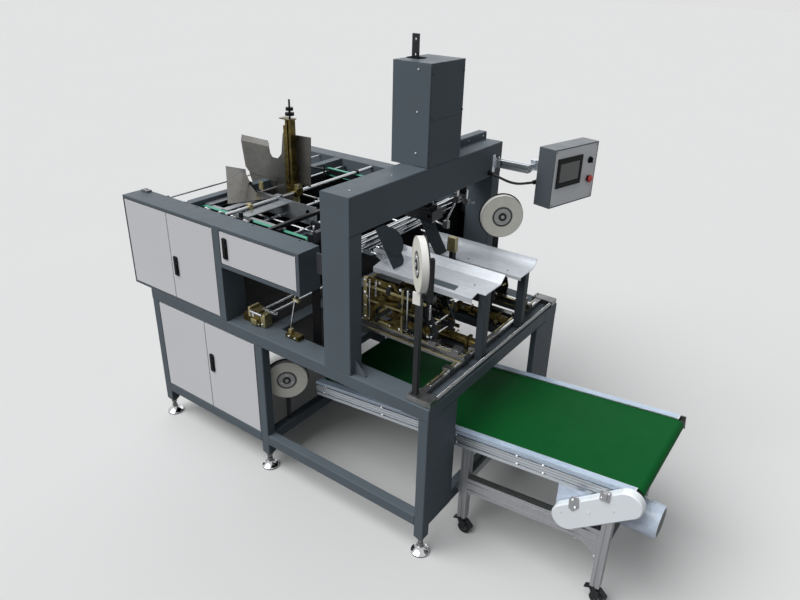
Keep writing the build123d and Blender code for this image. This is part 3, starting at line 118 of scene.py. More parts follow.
# Camera: the view that was fitted to the photograph; size, focal length and view centre in its pixels.
PHOTO = (800, 600)
FOCAL = 673.12
VIEW_CENTRE = (409.84, 288.71)
SENSOR = 36
CAMERA_AT = (1.71631, -2.62694, 2.42981)
right = Vector((0.81436176, 0.5795507, 0.03059283))
down = Vector((0.27460701, -0.33835536, -0.90005924))
ahead = Vector((-0.51127871, 0.74137483, -0.43469235))
camera = place("camera", bpy.data.cameras.new("camera"))
turn = Matrix((right, -down, -ahead)).transposed().to_4x4()
camera.matrix_world = Matrix.Translation(CAMERA_AT) @ turn
camera.data.sensor_fit = "HORIZONTAL"
camera.data.sensor_width = SENSOR
camera.data.lens = SENSOR * FOCAL / PHOTO[0]
camera.data.shift_x = (PHOTO[0] / 2 - VIEW_CENTRE[0]) / PHOTO[0]
camera.data.shift_y = (VIEW_CENTRE[1] - PHOTO[1] / 2) / PHOTO[0]
camera.data.clip_end = 200
bpy.context.scene.camera = camera


# Cord: the panel's cable, from the gantry's gland to the gland on the panel box.
CABLE = [(136.5, 375.5, 1470), (176.5, 379.5, 1461), (218.5, 395.5, 1443),
         (256.5, 423.5, 1433), (286.5, 455.5, 1434), (314.5, 485.5, 1438)]


def srgb(r, g, b):
    def one(v):
        v = v / 255
        return v / 12.92 if v <= 0.04045 else ((v + 0.055) / 1.055) ** 2.4
    return (one(r), one(g), one(b), 1)


# Materials

class Shader:
    """A material or world whose sockets are fed by small chains of nodes."""

    def __init__(self, owner, place="Object"):
        owner.use_nodes = True
        self.owner = owner
        self.tree = owner.node_tree
        self.tree.nodes.clear()
        self.place = self.node("ShaderNodeTexCoord").outputs[place]

    def node(self, kind, **values):
        made = self.tree.nodes.new(kind)
        for key, value in values.items():
            setattr(made, key, value)
        return made

    def link(self, a, b):
        self.tree.links.new(a, b)

    def put(self, socket, value):
        if isinstance(value, bpy.types.NodeSocket):
            self.link(value, socket)
        elif value is not None:
            socket.default_value = value

    def feed(self, node, **inputs):
        """Feed a node's inputs by name, where an underscore stands for a space."""
        for key, value in inputs.items():
            self.put(node.inputs[key.replace("_", " ")], value)

    def math(self, op, a, b, clamp=False):
        made = self.node("ShaderNodeMath", operation=op, use_clamp=clamp)
        for socket, value in zip(made.inputs, (a, b)):
            self.put(socket, value)
        return made.outputs[0]

    def vector(self, op, a, b=None):
        made = self.node("ShaderNodeVectorMath", operation=op)
        for socket, value in zip(made.inputs, (a, b)):
            self.put(socket, value)
        return made.outputs["Value" if op in ("LENGTH", "DOT_PRODUCT") else "Vector"]

    def noise(self, scale, detail=3, rough=0.55, stretch=None, distort=0):
        where = self.place
        if stretch:
            mapping = self.node("ShaderNodeMapping")
            self.feed(mapping, Vector=where, Scale=stretch)
            where = mapping.outputs[0]
        made = self.node("ShaderNodeTexNoise")
        self.feed(made, Vector=where, Scale=scale, Detail=detail, Roughness=rough, Distortion=distort)
        return made.outputs[0]

    def span(self, value, low, high, to_low=0, to_high=1):
        made = self.node("ShaderNodeMapRange")
        for socket, given in zip(made.inputs, (value, low, high, to_low, to_high)):
            self.put(socket, given)
        return made.outputs[0]

    def mix(self, amount, a, b, kind="RGBA", blend="MIX"):
        made = self.node("ShaderNodeMix", data_type=kind)
        first, result = (6, 2) if kind == "RGBA" else (2, 0)
        if kind == "RGBA":
            made.blend_type = blend
        for k, value in ((0, amount), (first, a), (first + 1, b)):
            self.put(made.inputs[k], value)
        return made.outputs[result]

    def tint(self, colour, amount):
        """Multiply a colour by a grey amount."""
        grey = self.node("ShaderNodeCombineColor")
        for socket in grey.inputs:
            self.link(amount, socket)
        return self.mix(1, colour, grey.outputs[0], blend="MULTIPLY")

    def axis(self, name, vector=None):
        split = self.node("ShaderNodeSeparateXYZ")
        self.link(vector or self.place, split.inputs[0])
        return split.outputs[name]

    def from_line(self, point, way):
        """How far a place lies from the line through the point."""
        arm = self.vector("SUBTRACT", self.place, tuple(point))
        return self.vector("LENGTH", self.vector("CROSS_PRODUCT", arm, tuple(way)))

    def is_seen(self):
        """1 for rays from the camera or through gloss and glass, 0 for rays that only light things."""
        path = self.node("ShaderNodeLightPath").outputs
        shiny = self.math("MAXIMUM", path["Is Camera Ray"], path["Is Glossy Ray"])
        return self.math("MAXIMUM", shiny, path["Is Transmission Ray"])


def surface(name):
    """A material with a Principled surface and nothing else yet."""
    s = Shader(bpy.data.materials.new(name))
    s.bsdf = s.node("ShaderNodeBsdfPrincipled")
    s.link(s.bsdf.outputs[0], s.node("ShaderNodeOutputMaterial").inputs[0])
    return s


SOFT = 0.0004


def above(axis, level):
    return lambda s: s.span(s.axis(axis), level - SOFT, level + SOFT)


def below(axis, level):
    return lambda s: s.span(s.axis(axis), level - SOFT, level + SOFT, 1, 0)


def inside(point, way, radius):
    """Nearer than this radius to a line."""
    return lambda s: s.span(s.from_line(point, way), radius - SOFT, radius + SOFT, 1, 0)


def outside(point, way, radius):
    return lambda s: s.span(s.from_line(point, way), radius - SOFT, radius + SOFT)


def finish(name, base, rough=0.45, metal=0, vary=0.06, scale=4, bump=0.12, fine=260,
           edge=0.001, wear=0, worn=None, grain=None, zones=(),
           coat=0, dust=0, shine=0.5, stain=0, stained=None, extra=None):
    """One surface: broad drift, fine relief, rounded and worn edges, stains, and zones by place."""
    s = surface(name)
    colour = s.node("ShaderNodeRGB").outputs[0]
    colour.default_value = base
    roughness = rough
    metallic = metal
    for test, other, other_rough, other_metal in zones:
        amount = test(s)
        colour = s.mix(amount, colour, other)
        roughness = s.mix(amount, roughness, other_rough, "FLOAT")
        metallic = s.mix(amount, metallic, other_metal, "FLOAT")
    colour = s.tint(colour, s.span(s.noise(scale, 4, 0.6), 0.25, 0.75, 1 - vary, 1 + vary))
    specks = s.noise(fine, 2, 0.5)
    if grain:
        streaks = s.noise(1, 3, 0.6, stretch=grain)
        colour = s.tint(colour, s.span(streaks, 0.3, 0.7, 0.86, 1.1))
        height = s.math("ADD", s.math("MULTIPLY", streaks, 0.7), s.math("MULTIPLY", specks, 0.3))
        ripple = s.span(streaks, 0.3, 0.7, -0.08, 0.08)
    else:
        height = specks
        ripple = s.span(s.noise(scale * 7, 3, 0.6), 0.3, 0.7, -0.06, 0.06)
    if stain:
        patch = s.span(s.noise(scale * 2.3, 5, 0.7, distort=0.6), 0.44, 0.66)
        colour = s.mix(s.math("MULTIPLY", patch, stain), colour, stained)
    roughness = s.math("ADD", roughness, ripple, clamp=True)
    rounded = s.node("ShaderNodeBevel", samples=4)
    s.feed(rounded, Radius=edge)
    where = s.node("ShaderNodeNewGeometry").outputs["Normal"]
    if wear:
        rim = s.span(s.vector("DOT_PRODUCT", rounded.outputs[0], where), 0.995, 0.8)
        patchy = s.span(s.noise(60, 4, 0.65), 0.42, 0.62)
        colour = s.mix(s.math("MULTIPLY", s.math("MULTIPLY", rim, patchy), wear), colour, worn)
    if dust:
        lying = s.span(s.axis("Z", where), 0.6, 1)
        clouds = s.span(s.noise(9, 5, 0.65), 0.35, 0.75)
        amount = s.math("MULTIPLY", s.math("MULTIPLY", lying, clouds), dust)
        colour = s.mix(amount, colour, (0.42, 0.42, 0.41, 1))
    relief = s.node("ShaderNodeBump")
    s.feed(relief, Strength=bump, Distance=0.0006, Height=height, Normal=rounded.outputs[0])
    s.feed(s.bsdf, Base_Color=colour, Roughness=roughness, Metallic=metallic, Normal=relief.outputs[0],
           Coat_Weight=coat, Specular_IOR_Level=shine)
    if extra:
        extra(s)
    return s.owner


SLATE = srgb(87, 96, 103)
SLATE_WORN = srgb(120, 128, 134)
BLACK = srgb(20, 21, 23)

frame_paint = finish(
    "frame_paint", SLATE, 0.42, vary=0.05, scale=2.2, fine=900, edge=0.003, wear=0.15, worn=SLATE_WORN,
    dust=0.02, shine=0.05)
# Slate paint darker than the frame's: painted shade on the bed beams and the shields.
shaded_slate_paint = finish(
    "shaded_slate_paint", srgb(66, 73, 79), 0.45, vary=0.06, fine=900, edge=0.0015, wear=0.2, worn=SLATE_WORN,
    dust=0.03, shine=0.06)
# Near-black sheet colour: painted shade, for the sheets put under and round the feeder and the bay where the
# inside lies in shade.
painted_shade_sheet = finish(
    "painted_shade_sheet", srgb(12, 13, 15), 0.5, vary=0.1, bump=0.15, fine=900, wear=0.2, worn=srgb(60, 64, 68),
    dust=0.03, shine=0.08)
door_paint = finish(
    "door_paint", srgb(202, 202, 205), 0.38, vary=0.02, scale=1.6, bump=0.06, fine=700, edge=0.0015,
    wear=0.2, worn=srgb(150, 150, 150), shine=0.3)
panel_paint = finish(
    "panel_paint", srgb(90, 97, 103), 0.4, vary=0.04, bump=0.1, fine=900, edge=0.002, wear=0.2,
    worn=srgb(150, 155, 160), shine=0.25)
panel_front = finish("panel_front", srgb(228, 230, 233), 0.4, vary=0.03, bump=0.08, fine=900, shine=0.3)
white_paint = finish(
    "white_paint", srgb(227, 233, 237), 0.3, vary=0.02, bump=0.05, edge=0.002, scale=3, coat=0.15)
MOTOR_AXIS = P(0, MOTOR_Y, MOTOR_Z)
FAN = above("X", P(888, 0, 0).x)
NEAR_AXIS = inside(MOTOR_AXIS, X_WAY, 0.058)
film_wrap = finish(
    "film_wrap", srgb(190, 202, 218), 0.22, vary=0.1, scale=9, bump=0.6, fine=60,
    grain=(30, 8, 60), coat=0.05, shine=0.2,
    zones=((lambda s: s.math("MULTIPLY", FAN(s), NEAR_AXIS(s)), BLACK, 0.5, 0),))
blue_film = finish(
    "blue_film", srgb(170, 188, 208), 0.25, vary=0.1, scale=5, bump=0.3, fine=120, edge=0.0005,
    grain=(6, 220, 220), coat=0.2)
PROFILE = {"vary": 0.05, "edge": 0.0008, "bump": 0.08, "fine": 500}
extruded = finish(
    "extruded_aluminium", srgb(200, 206, 212), 0.36, 1, grain=(4, 260, 260), **PROFILE)
upright = finish("upright_aluminium", srgb(166, 167, 170), 0.38, 1, grain=(260, 260, 4), **PROFILE)
cast_grey = finish("cast_bracket", srgb(120, 121, 124), 0.45, 0.7, vary=0.08, scale=20, bump=0.2)
sheet_steel = finish(
    "sheet_steel", srgb(208, 213, 220), 0.48, 0.2, vary=0.07, scale=5, edge=0.0008,
    grain=(6, 420, 420), dust=0.05, stain=0.15, stained=srgb(120, 124, 130))
hopper_steel = finish(
    "hopper_steel", srgb(106, 105, 102), 0.36, 0.75, vary=0.14, scale=6, edge=0.0006,
    grain=(6, 400, 400), stain=0.35, stained=srgb(64, 64, 62))
slat_steel = finish(
    "slat_steel", srgb(146, 151, 156), 0.34, 0.6, vary=0.12, scale=6, edge=0.0006,
    grain=(6, 400, 400), stain=0.2, stained=srgb(84, 86, 88))
POLISHED = (srgb(196, 199, 202), 0.16, 1, 0.05)
BEARING = srgb(40, 43, 47)
bright_bar = finish("bright_bar", *POLISHED, bump=0.03, edge=0.0006)
roller_bars = finish(
    "roller_bars", *POLISHED, bump=0.03, edge=0.0006,
    zones=((below("Y", P(0, 68.5, 0).y), BEARING, 0.45, 0.1),
           (above("Y", P(0, 1166.5, 0).y), BEARING, 0.45, 0.1)))
chrome = finish("chrome", srgb(214, 216, 218), 0.09, 1, vary=0.03, bump=0.02, edge=0.0005)
ground_steel = finish(
    "ground_steel", srgb(122, 123, 124), 0.32, 0.9, vary=0.16, scale=11, bump=0.1, edge=0.0008, wear=0.5,
    worn=srgb(200, 200, 200), stain=0.5, stained=srgb(64, 62, 54))
dark_steel = finish(
    "dark_steel", srgb(46, 48, 51), 0.38, 0.7, vary=0.15, scale=12, bump=0.14, edge=0.0008, wear=0.4,
    worn=srgb(130, 130, 130))
ZINC = {"base": srgb(104, 91, 48), "rough": 0.38, "metal": 0.85, "vary": 0.3, "scale": 14, "bump": 0.14,
        "edge": 0.0008, "wear": 0.5, "worn": srgb(190, 180, 132), "stained": srgb(30, 26, 16)}
brass = finish("yellow_zinc", stain=0.85, **ZINC)
BARE = srgb(190, 193, 196)
LEAN = Vector((60, 0, 269)).normalized()
bay_finish = finish(
    "bay_finish", stain=0.5, **ZINC,
    zones=((inside(P(-1068, 0, 870), Y_WAY, 0.0096), BARE, 0.18, 1),
           (inside(P(-860, 90, 832), LEAN, 0.0048), BARE, 0.18, 1)))
pale_brass = finish(
    "pale_zinc", srgb(176, 166, 124), 0.34, 0.8, vary=0.2, scale=18, bump=0.1, edge=0.0008, wear=0.4,
    worn=srgb(220, 216, 190), stain=0.4, stained=srgb(90, 80, 44))
black_plastic = finish(
    "black_plastic", BLACK, 0.45, vary=0.1, bump=0.2, fine=1200, edge=0.0012, shine=0.08)
black_metal = finish(
    "black_metal", srgb(30, 32, 35), 0.4, 0.2, vary=0.1, wear=0.35, worn=srgb(110, 110, 110), shine=0.3)
belt_green = finish(
    "belt_green", srgb(10, 80, 36), 0.55, vary=0.07, scale=2.5, bump=0.25, fine=1500, shine=0.04)
feed_green = finish("feed_belt", srgb(74, 150, 128), 0.5, vary=0.08, bump=0.2, fine=900, shine=0.3)
white_tape = finish(
    "paper_tape", srgb(228, 226, 220), 0.55, vary=0.03, scale=20, bump=0.2, fine=800, edge=0.0005,
    shine=0.3)
grey_flange = finish("grey_flange", srgb(168, 169, 168), 0.4, vary=0.04, scale=20, bump=0.08, edge=0.0006)
rubber = finish("rubber", srgb(24, 24, 25), 0.6, vary=0.1, bump=0.3, fine=700, shine=0.3)
red_plastic = finish("stop_button", srgb(190, 24, 20), 0.3, vary=0.04, bump=0.03, coat=0.3)
screen_glass = finish(
    "screen_glass", srgb(66, 67, 69), 0.12, vary=0.03, bump=0.01, fine=300, edge=0.0004, coat=0.08)


def reel_finish(label):
    """Wound paper tape: cream winding lines, a grey hub inside a dark ring, a white outer edge."""
    middle, degrees = REELS[label][:2]
    point = P(*middle)
    way = level(degrees)

    def winding(s):
        lines = s.node("ShaderNodeTexNoise", noise_dimensions="1D")
        s.feed(lines, W=s.from_line(point, way), Scale=900, Detail=3)
        source = s.bsdf.inputs["Base Color"].links[0].from_socket
        shade = s.span(lines.outputs[0], 0.3, 0.7, 0.9, 1.06)
        s.feed(s.bsdf, Base_Color=s.tint(source, shade))

    zones = (
        (outside(point, way, (REEL_RADIUS - 0.9) / 1000), srgb(236, 235, 230), 0.55, 0),
        (inside(point, way, 0.052), srgb(118, 117, 113), 0.45, 0),
        (inside(point, way, 0.043), srgb(206, 206, 203), 0.4, 0),
    )
    return finish(label + "_tape", srgb(220, 219, 208), 0.45, vary=0.05, scale=30, bump=0.1,
                  edge=0.0006, zones=zones, extra=winding)


FINISHES = (
    (frame_paint, "base_posts base_stretchers deck_long_beams deck_cross_beams gantry_columns "
     "gantry_beam press_tower feeder_frame upper_cabinet side_compartment"),
    (shaded_slate_paint, "bed_beams shield_plates"),
    (panel_paint, "panel_box"),
    (door_paint, "upper_door_left upper_door_right side_door lower_door_left lower_door_right "
     "lower_panels"),
    (white_paint, "drive_cover"),
    (film_wrap, "drive_motor"),
    (black_plastic, "upper_door_lock side_door_lock lower_door_lock panel_controls cable_glands "
     "panel_cable hopper_knobs"),
    (panel_front, "panel_face"),
    (black_metal, "feed_guides conveyor_casters tape_brackets"),
    (extruded, "conveyor_rails panel_arm"),
    (upright, "conveyor_stretchers conveyor_legs"),
    (ground_steel, "conveyor_drums slide_rails end_rails"),
    (chrome, "leveling_feet"),
    (belt_green, "conveyor_belt"),
    (feed_green, "feed_belts"),
    (bright_bar, "feeder_shafts"),
    (slat_steel, "feeder_tables"),
    (hopper_steel, "hopper_plate"),
    (brass, "hopper_column forming_frames head_rollers"),
    (roller_bars, "transfer_rollers"),
    (sheet_steel, "guide_chutes"),
    (bay_finish, "bay_linkage"),
    (dark_steel, "press_ram press_head"),
    (red_plastic, "emergency_stop"),
)
FINISH_OF = {name: mat for mat, names in FINISHES for name in names.split()}
for name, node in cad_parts.items():
    node.data.materials.clear()
    node.data.materials.append(reel_finish(name) if name in REELS else FINISH_OF[name])


# Mesh tools

@contextmanager
def piece(name, mat, bevel=0, body="machine", angle=40, replaces=()):
    """One piece in the making: with piece("name", material) as bm: ... adds shapes to its mesh."""
    bm = bmesh.new()
    yield bm
    mesh = bpy.data.meshes.new(name)
    bmesh.ops.recalc_face_normals(bm, faces=bm.faces)
    bm.to_mesh(mesh)
    bm.free()
    mesh.materials.append(mat)
    made = place(name, mesh)
    if bevel:
        rim = made.modifiers.new("rim", "BEVEL")
        rim.width = bevel
        rim.segments = 2
        rim.limit_method = "ANGLE"
    for face in mesh.polygons:
        face.use_smooth = True
    mesh.set_sharp_from_angle(angle=math.radians(angle))
    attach(made, body)
    if replaces:
        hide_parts(*replaces)


def prism(bm, outline, depth):
    """A flat outline of points pushed along a vector."""
    near = [bm.verts.new(p) for p in outline]
    far = [bm.verts.new(p + depth) for p in outline]
    bm.faces.new(near)
    bm.faces.new(far)
    skin(bm, (near, far), closed=False)


def slab(bm, x, y, z):
    """A straight block between two corners, in mm."""
    corners = [P(x[0], y[0], z[0]), P(x[1], y[0], z[0]), P(x[1], y[1], z[0]), P(x[0], y[1], z[0])]
    prism(bm, corners, UP * (z[1] - z[0]) / 1000)


def plate_xz(bm, points, y):
    """A plate that stands along x, outlined by x and z."""
    prism(bm, [P(x, y[0], z) for x, z in points], Y_WAY * (y[1] - y[0]) / 1000)


def rings(bm, start, way, stations, sides, phase=0):
    """Loops of points round an axis, one for each station: a distance along it and a radius, in mm."""
    w = way.normalized()
    u = UP.cross(w) if abs(w.z) < 0.9 else X_WAY - w * w.x
    u.normalize()
    v = w.cross(u)
    loops = []
    for reach, radius in stations:
        middle = start + w * reach / 1000
        loop = []
        for k in range(sides):
            t = 2 * math.pi * k / sides + phase
            loop.append(bm.verts.new(middle + (u * math.cos(t) + v * math.sin(t)) * radius / 1000))
        loops.append(loop)
    return loops


def skin(bm, loops, closed=True):
    """Faces from each loop of points to the next and, where closed, over both ends."""
    for a, b in zip(loops, loops[1:]):
        for k in range(len(a)):
            j = (k + 1) % len(a)
            bm.faces.new((a[k], a[j], b[j], b[k]))
    if closed:
        bm.faces.new(loops[0])
        bm.faces.new(loops[-1])


def turned(bm, start, way, stations, sides=24, phase=0):
    """A turned shape along a way, closed at both ends."""
    skin(bm, rings(bm, start, way, stations, sides, phase))


def collar(bm, start, way, inner, outer, long, sides):
    """A ring with a bore, its outer rims taken off."""
    cut = min(1, long / 4, (outer - inner) / 4)
    section = ((0, inner), (0, outer - cut), (cut, outer), (long - cut, outer), (long, outer - cut),
               (long, inner))
    loops = rings(bm, start, way, section, sides)
    skin(bm, loops + loops[:1], closed=False)


def rod(bm, start, end, radius, sides=16):
    """A round bar with bevelled ends; the radius is in mm."""
    way = end - start
    long = way.length * 1000
    cut = min(1, radius / 3, long / 4)
    stations = ((0, radius - cut), (cut, radius), (long - cut, radius), (long, radius - cut))
    turned(bm, start, way, stations, sides)


def screw(bm, at, way, radius=4.5):
    """A socket screw: a rounded head with a shallow round hole."""
    high = radius * 0.8
    rim = ((0, radius), (high * 0.7, radius), (high, radius * 0.82))
    turned(bm, at, way, rim + ((high, radius * 0.5), (high * 0.4, radius * 0.48)), 12)


def bolt(bm, at, way, radius=6):
    """A hexagon head on its washer."""
    turned(bm, at, way, ((0, radius * 1.5), (radius * 0.25, radius * 1.5)), 20)
    start = at + way.normalized() * radius * 0.00025
    turned(bm, start, way, ((0, radius), (radius * 0.6, radius), (radius * 0.75, radius * 0.85)), 6)


def stud(bm, at, way, radius, long):
    """A threaded stud: turns of thread along a bar, with a nut near its foot."""
    pitch = radius * 0.35
    turns = int(long / pitch)
    stations = [(0, radius)]
    for k in range(turns):
        stations.append(((k + 0.5) * pitch, radius * 0.86))
        stations.append(((k + 1) * pitch, radius))
    turned(bm, at, way, stations, 12)
    turned(bm, at, way, ((0, radius * 1.7), (radius * 1.5, radius * 1.7)), 6)


def spring(bm, start, end, radius, wire, turns, sides=7):
    """A round wire wound between two points; both radii are in mm."""
    way = end - start
    w = way.normalized()
    u = w.orthogonal().normalized()
    v = w.cross(u)
    steps = int(turns * 12)
    loops = []
    for k in range(steps + 1):
        t = 2 * math.pi * turns * k / steps
        out = u * math.cos(t) + v * math.sin(t)
        middle = start + way * (k / steps) + out * radius / 1000
        loop = []
        for m in range(sides):
            a = 2 * math.pi * m / sides
            loop.append(bm.verts.new(middle + (out * math.cos(a) + w * math.sin(a)) * wire / 1000))
        loops.append(loop)
    skin(bm, loops)


def strip(bm, points, across, thick):
    """A thin band along points, as wide as the vector across; thickness in mm."""
    wide = across / 2
    rows = []
    for k, p in enumerate(points):
        a = points[max(k - 1, 0)]
        b = points[min(k + 1, len(points) - 1)]
        out = (b - a).cross(wide).normalized() * thick / 2000
        corners = (p + wide + out, p - wide + out, p - wide - out, p + wide - out)
        rows.append([bm.verts.new(q) for q in corners])
    skin(bm, rows)


def blocks(name, mat, bevel, *boxes):
    """A piece made of straight blocks, each told by its spans in x, y and z."""
    with piece(name, mat, bevel) as bm:
        for box in boxes:
            slab(bm, *box)


def fixings(make, name, mat, spots, way, radius):
    """A piece made of screws or bolts that all point one way."""
    with piece(name, mat) as bm:
        for spot in spots:
            make(bm, P(*spot), way, radius)


# The cable follows the same points as the part's source.
line = bpy.data.curves.new("panel_cable_line", "CURVE")
line.dimensions = "3D"
spline = line.splines.new("NURBS")
spline.points.add(len(CABLE) - 1)
for point, (x, y, z) in zip(spline.points, CABLE):
    point.co = (x / 1000, y / 1000, z / 1000, 1)
spline.order_u = 3
spline.use_endpoint_u = True
spline.resolution_u = 16
line.bevel_depth = 0.0065
line.bevel_resolution = 6
line.use_fill_caps = True
cable_sheath = finish("cable_sheath", BLACK, 0.42, vary=0.1, bump=0.25, fine=1500, edge=0.0005)
cable = place("panel_cable_run", line)
line.materials.append(cable_sheath)
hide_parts("panel_cable")
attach(cable, "machine")


# Base: levelling feet with rubber pads, domed cups, threaded stems and nuts

FOOT_AT = [(x, y) for x in (-1788, -993, -25) for y in (25, 1210)]
with piece("foot_pads", rubber) as bm:
    for x, y in FOOT_AT:
        turned(bm, P(x, y, 0), UP, ((0, 41), (1, 43), (5, 43.5), (6, 43)), 40)
with piece("foot_cups", chrome, replaces=("leveling_feet",)) as bm:
    for x, y in FOOT_AT:
        turned(bm, P(x, y, 6), UP, (
            (0, 43.8), (2, 44), (3.5, 43), (5, 40), (8, 33), (13, 25), (19, 19.5), (24, 17), (28, 16),
        ), 40)
with piece("foot_stems", ground_steel) as bm:
    for x, y in FOOT_AT:
        turned(bm, P(x, y, 34), UP, ((0, 15), (9, 15)), 6)
        stud(bm, P(x, y, 43), UP, 8, 40)
        turned(bm, P(x, y, 66), UP, ((0, 14.5), (11, 14.5)), 6)
with piece("foot_shoulders", frame_paint, 0.001) as bm:
    for x, y in FOOT_AT:
        turned(bm, P(x, y, 77), UP, ((0, 16), (23, 35)), 4, math.pi / 4)

with piece("column_gussets", frame_paint, 0.0008) as bm:
    for y in (30, BASE_DEPTH - 38):
        outline = ((GANTRY[1] - 2, 872), (GANTRY[1] - 2, DECK_TOP), (-352, DECK_TOP), (-352, 816))
        plate_xz(bm, outline, (y, y + 8))

# The feeder stands on a near-black table sheet let into the base beams, and near-black walls close the bay:
# painted shade for the dark inside under the feeder.
blocks(
    "table_shade_sheet", painted_shade_sheet, 0,
    ((FEEDER_LEFT, -640), (14, BASE_DEPTH - 14), (TABLE_TOP - 4, TABLE_TOP)),
)
blocks(
    "bay_shade_wall", painted_shade_sheet, 0,
    ((-1203, -700), (HOUSING_DEPTH + 34, HOUSING_DEPTH + 37), (1096, 1230)),
    ((-750, -700), (HOUSING_DEPTH, HOUSING_DEPTH + 3), (TABLE_TOP, 1280)),
)


# Press tower: overlapping cover sheets and their screws

blocks(
    "tower_covers", frame_paint, 0.0004,
    ((-485, -413.5), (536.6, 538.4), (1618, 2056)),
    ((-412.4, -410.8), (541, 805), (1824, 2036)),
    ((-412.4, -410.8), (541, 805), (1620, 1818)),
)
front_screws = [(-477, 536.6, z) for z in (2032, 1855, 1676)]
side_screws = [(-410.8, y, z) for y, z in ((549, 2017), (548, 1837), (796, 2012), (799, 1840))]
fixings(screw, "tower_front_screws", white_paint, front_screws, -Y_WAY, 4.2)
fixings(screw, "tower_side_screws", dark_steel, side_screws, X_WAY, 5)
with piece("beam_screws", bright_bar) as bm:
    for x, y in ((-470, 73), (-473, 357), (-470, 1140)):
        screw(bm, P(x, y, GANTRY_TOP), UP, 4)
    for y in (890, 1050, 1194):
        screw(bm, P(-509, y, 1634), X_WAY, 3.6)
with piece("tower_slot_seal", black_plastic, 0.001) as bm:
    for y in (624, 672):
        slab(bm, (-604, -532), (y, y + 4), (2060, 2064))
    for x in (-604, -536):
        slab(bm, (x, x + 4), (628, 672), (2060, 2064))


# Control panel: glass, mushroom button, collars and corner screws

STOP_AT = on_panel(305, -190, 0)
KNOB_AT = on_panel(300, -90, 0)
with piece("screen", screen_glass, 0.0004) as bm:
    corners = [on_panel(u, v, 3.9) for u, v in ((51, -173), (209, -173), (209, -77), (51, -77))]
    prism(bm, corners, PANEL_OUT * 0.0007)
with piece("stop_head", red_plastic, replaces=("emergency_stop",)) as bm:
    dome = ((7, 11.5), (13, 12), (14, 18.5), (15.5, 20), (19, 20), (22, 18.6))
    turned(bm, STOP_AT, PANEL_OUT, dome + ((24.4, 14), (25.6, 8), (25.9, 2)), 36)
with piece("button_collars", black_plastic) as bm:
    turned(bm, STOP_AT, PANEL_OUT, ((0, 17), (5, 17), (7, 15), (7.2, 8)), 28)
    turned(bm, KNOB_AT, PANEL_OUT, ((0, 18), (3, 18), (4, 16.5), (4.2, 8)), 28)
with piece("panel_screws", dark_steel) as bm:
    for u, v in ((15, -15), (345, -15), (15, -285), (345, -285)):
        screw(bm, on_panel(u, v, 0), PANEL_OUT, 3)
blocks(
    "arm_clamp", dark_steel, 0.001,
    ((GANTRY[1], GANTRY[1] + 8), (1150, 1201), (1488, 1548)),
    ((GANTRY[1] + 8, GANTRY[1] + 46), (1154, 1160), (1500, 1536)),
)
with piece("arm_bolts", chrome) as bm:
    for y in (1159, 1192):
        for z in (1496, 1540):
            bolt(bm, P(GANTRY[1] + 8, y, z), X_WAY, 4)
    screw(bm, P(GANTRY[1] + 26, 1154, 1518), -Y_WAY, 4)


# Tape reels: rims of the hub, hub screws, and a dark disc behind each roll

for label, (middle, degrees, side) in REELS.items():
    body = label.removeprefix("tape_")
    way = level(degrees)
    centre = P(*middle)
    with piece(label + "_rims", grey_flange, body=body) as bm:
        for face in (-1, 1):
            start = centre + way * face * REEL_HALF / 1000
            collar(bm, start, way * face, 21, 42, 1.6, 40)
            collar(bm, start, way * face, 103.6, 105.4, 0.7, 64)
    with piece(label + "_hub", dark_steel, body=body) as bm:
        for face in (-1, 1):
            collar(bm, centre + way * face * REEL_HALF / 1000, way * face, 42.6, 48, 1, 40)
    with piece(label + "_disc", black_metal, body=body) as bm:
        collar(bm, centre + way * side * (REEL_HALF + 2) / 1000, way * side, 20.6, 112, 2.4, 72)
    with piece(label + "_screws", chrome, body=body) as bm:
        for k in range(3):
            t = 2 * math.pi * k / 3
            spot = UP * math.cos(t) + UP.cross(way) * math.sin(t)
            screw(bm, centre + (way * -side * (REEL_HALF + 1.6) + spot * 31) / 1000, way * -side, 3)
with piece("axle_caps", grey_flange) as bm:
    for middle, degrees, side in REELS.values():
        way = level(degrees) * -side
        start = P(*middle) + way * (REEL_HALF + 4) / 1000
        turned(bm, start, way, ((0, 9), (2.5, 9), (3.2, 8), (3.2, 5), (2.4, 4.6)), 24)


# Sheets that close the feeder's lower sides, so the bay and the feeder lie in the dark; their near-black
# colour is painted shade.
blocks(
    "feeder_shade_sides", painted_shade_sheet, 0,
    ((FEEDER_LEFT, -600), (1176, 1179), (TABLE_TOP, 1228)),
    ((FEEDER_LEFT, FEEDER_LEFT + 3), (150, 1176), (TABLE_TOP, 1228)),
    ((-600, -596), (1076, 1179), (DECK_TOP, 1290)),
    ((-640, -414), (1205, 1208), (812, 1400)),
)


# Forming station

blocks(
    "head_side_bars", pale_brass, 0.0008,
    ((-613, -592), (338, 352), (878, 1105)),
    ((-592, -262), (342, 350), (1058, 1070)),
    ((-592, -300), (344, 352), (984, 994)),
    ((-392, -382), (336, 346), (878, 1100)),
    ((-560, -470), (346, 355), (884, 896)),
    ((-416, -371), (748, 778), (1157, 1230)),
    ((-300, -288), (352, 364), (880, 1090)),
)
with piece("head_dark_plates", black_metal, 0.0008) as bm:
    for y in (372, 512):
        outline = ((-392, 880), (-215, 880), (-205, 930), (-250, 1010), (-262, 1088), (-392, 1100))
        plate_xz(bm, outline, (y, y + 6))
    for y in (850, 1000):
        plate_xz(bm, ((-392, 880), (-195, 880), (-185, 940), (-215, 1060), (-392, 1084)), (y, y + 6))
    slab(bm, (-600, -110), (700, 706), (985, 1092))
    slab(bm, (-268, -109), (722, 752), (1060, 1100))
    slab(bm, (-560, -420), (360, 528), (1112, 1118))
    slab(bm, (-404, -384), (752, 786), (1088, 1160))
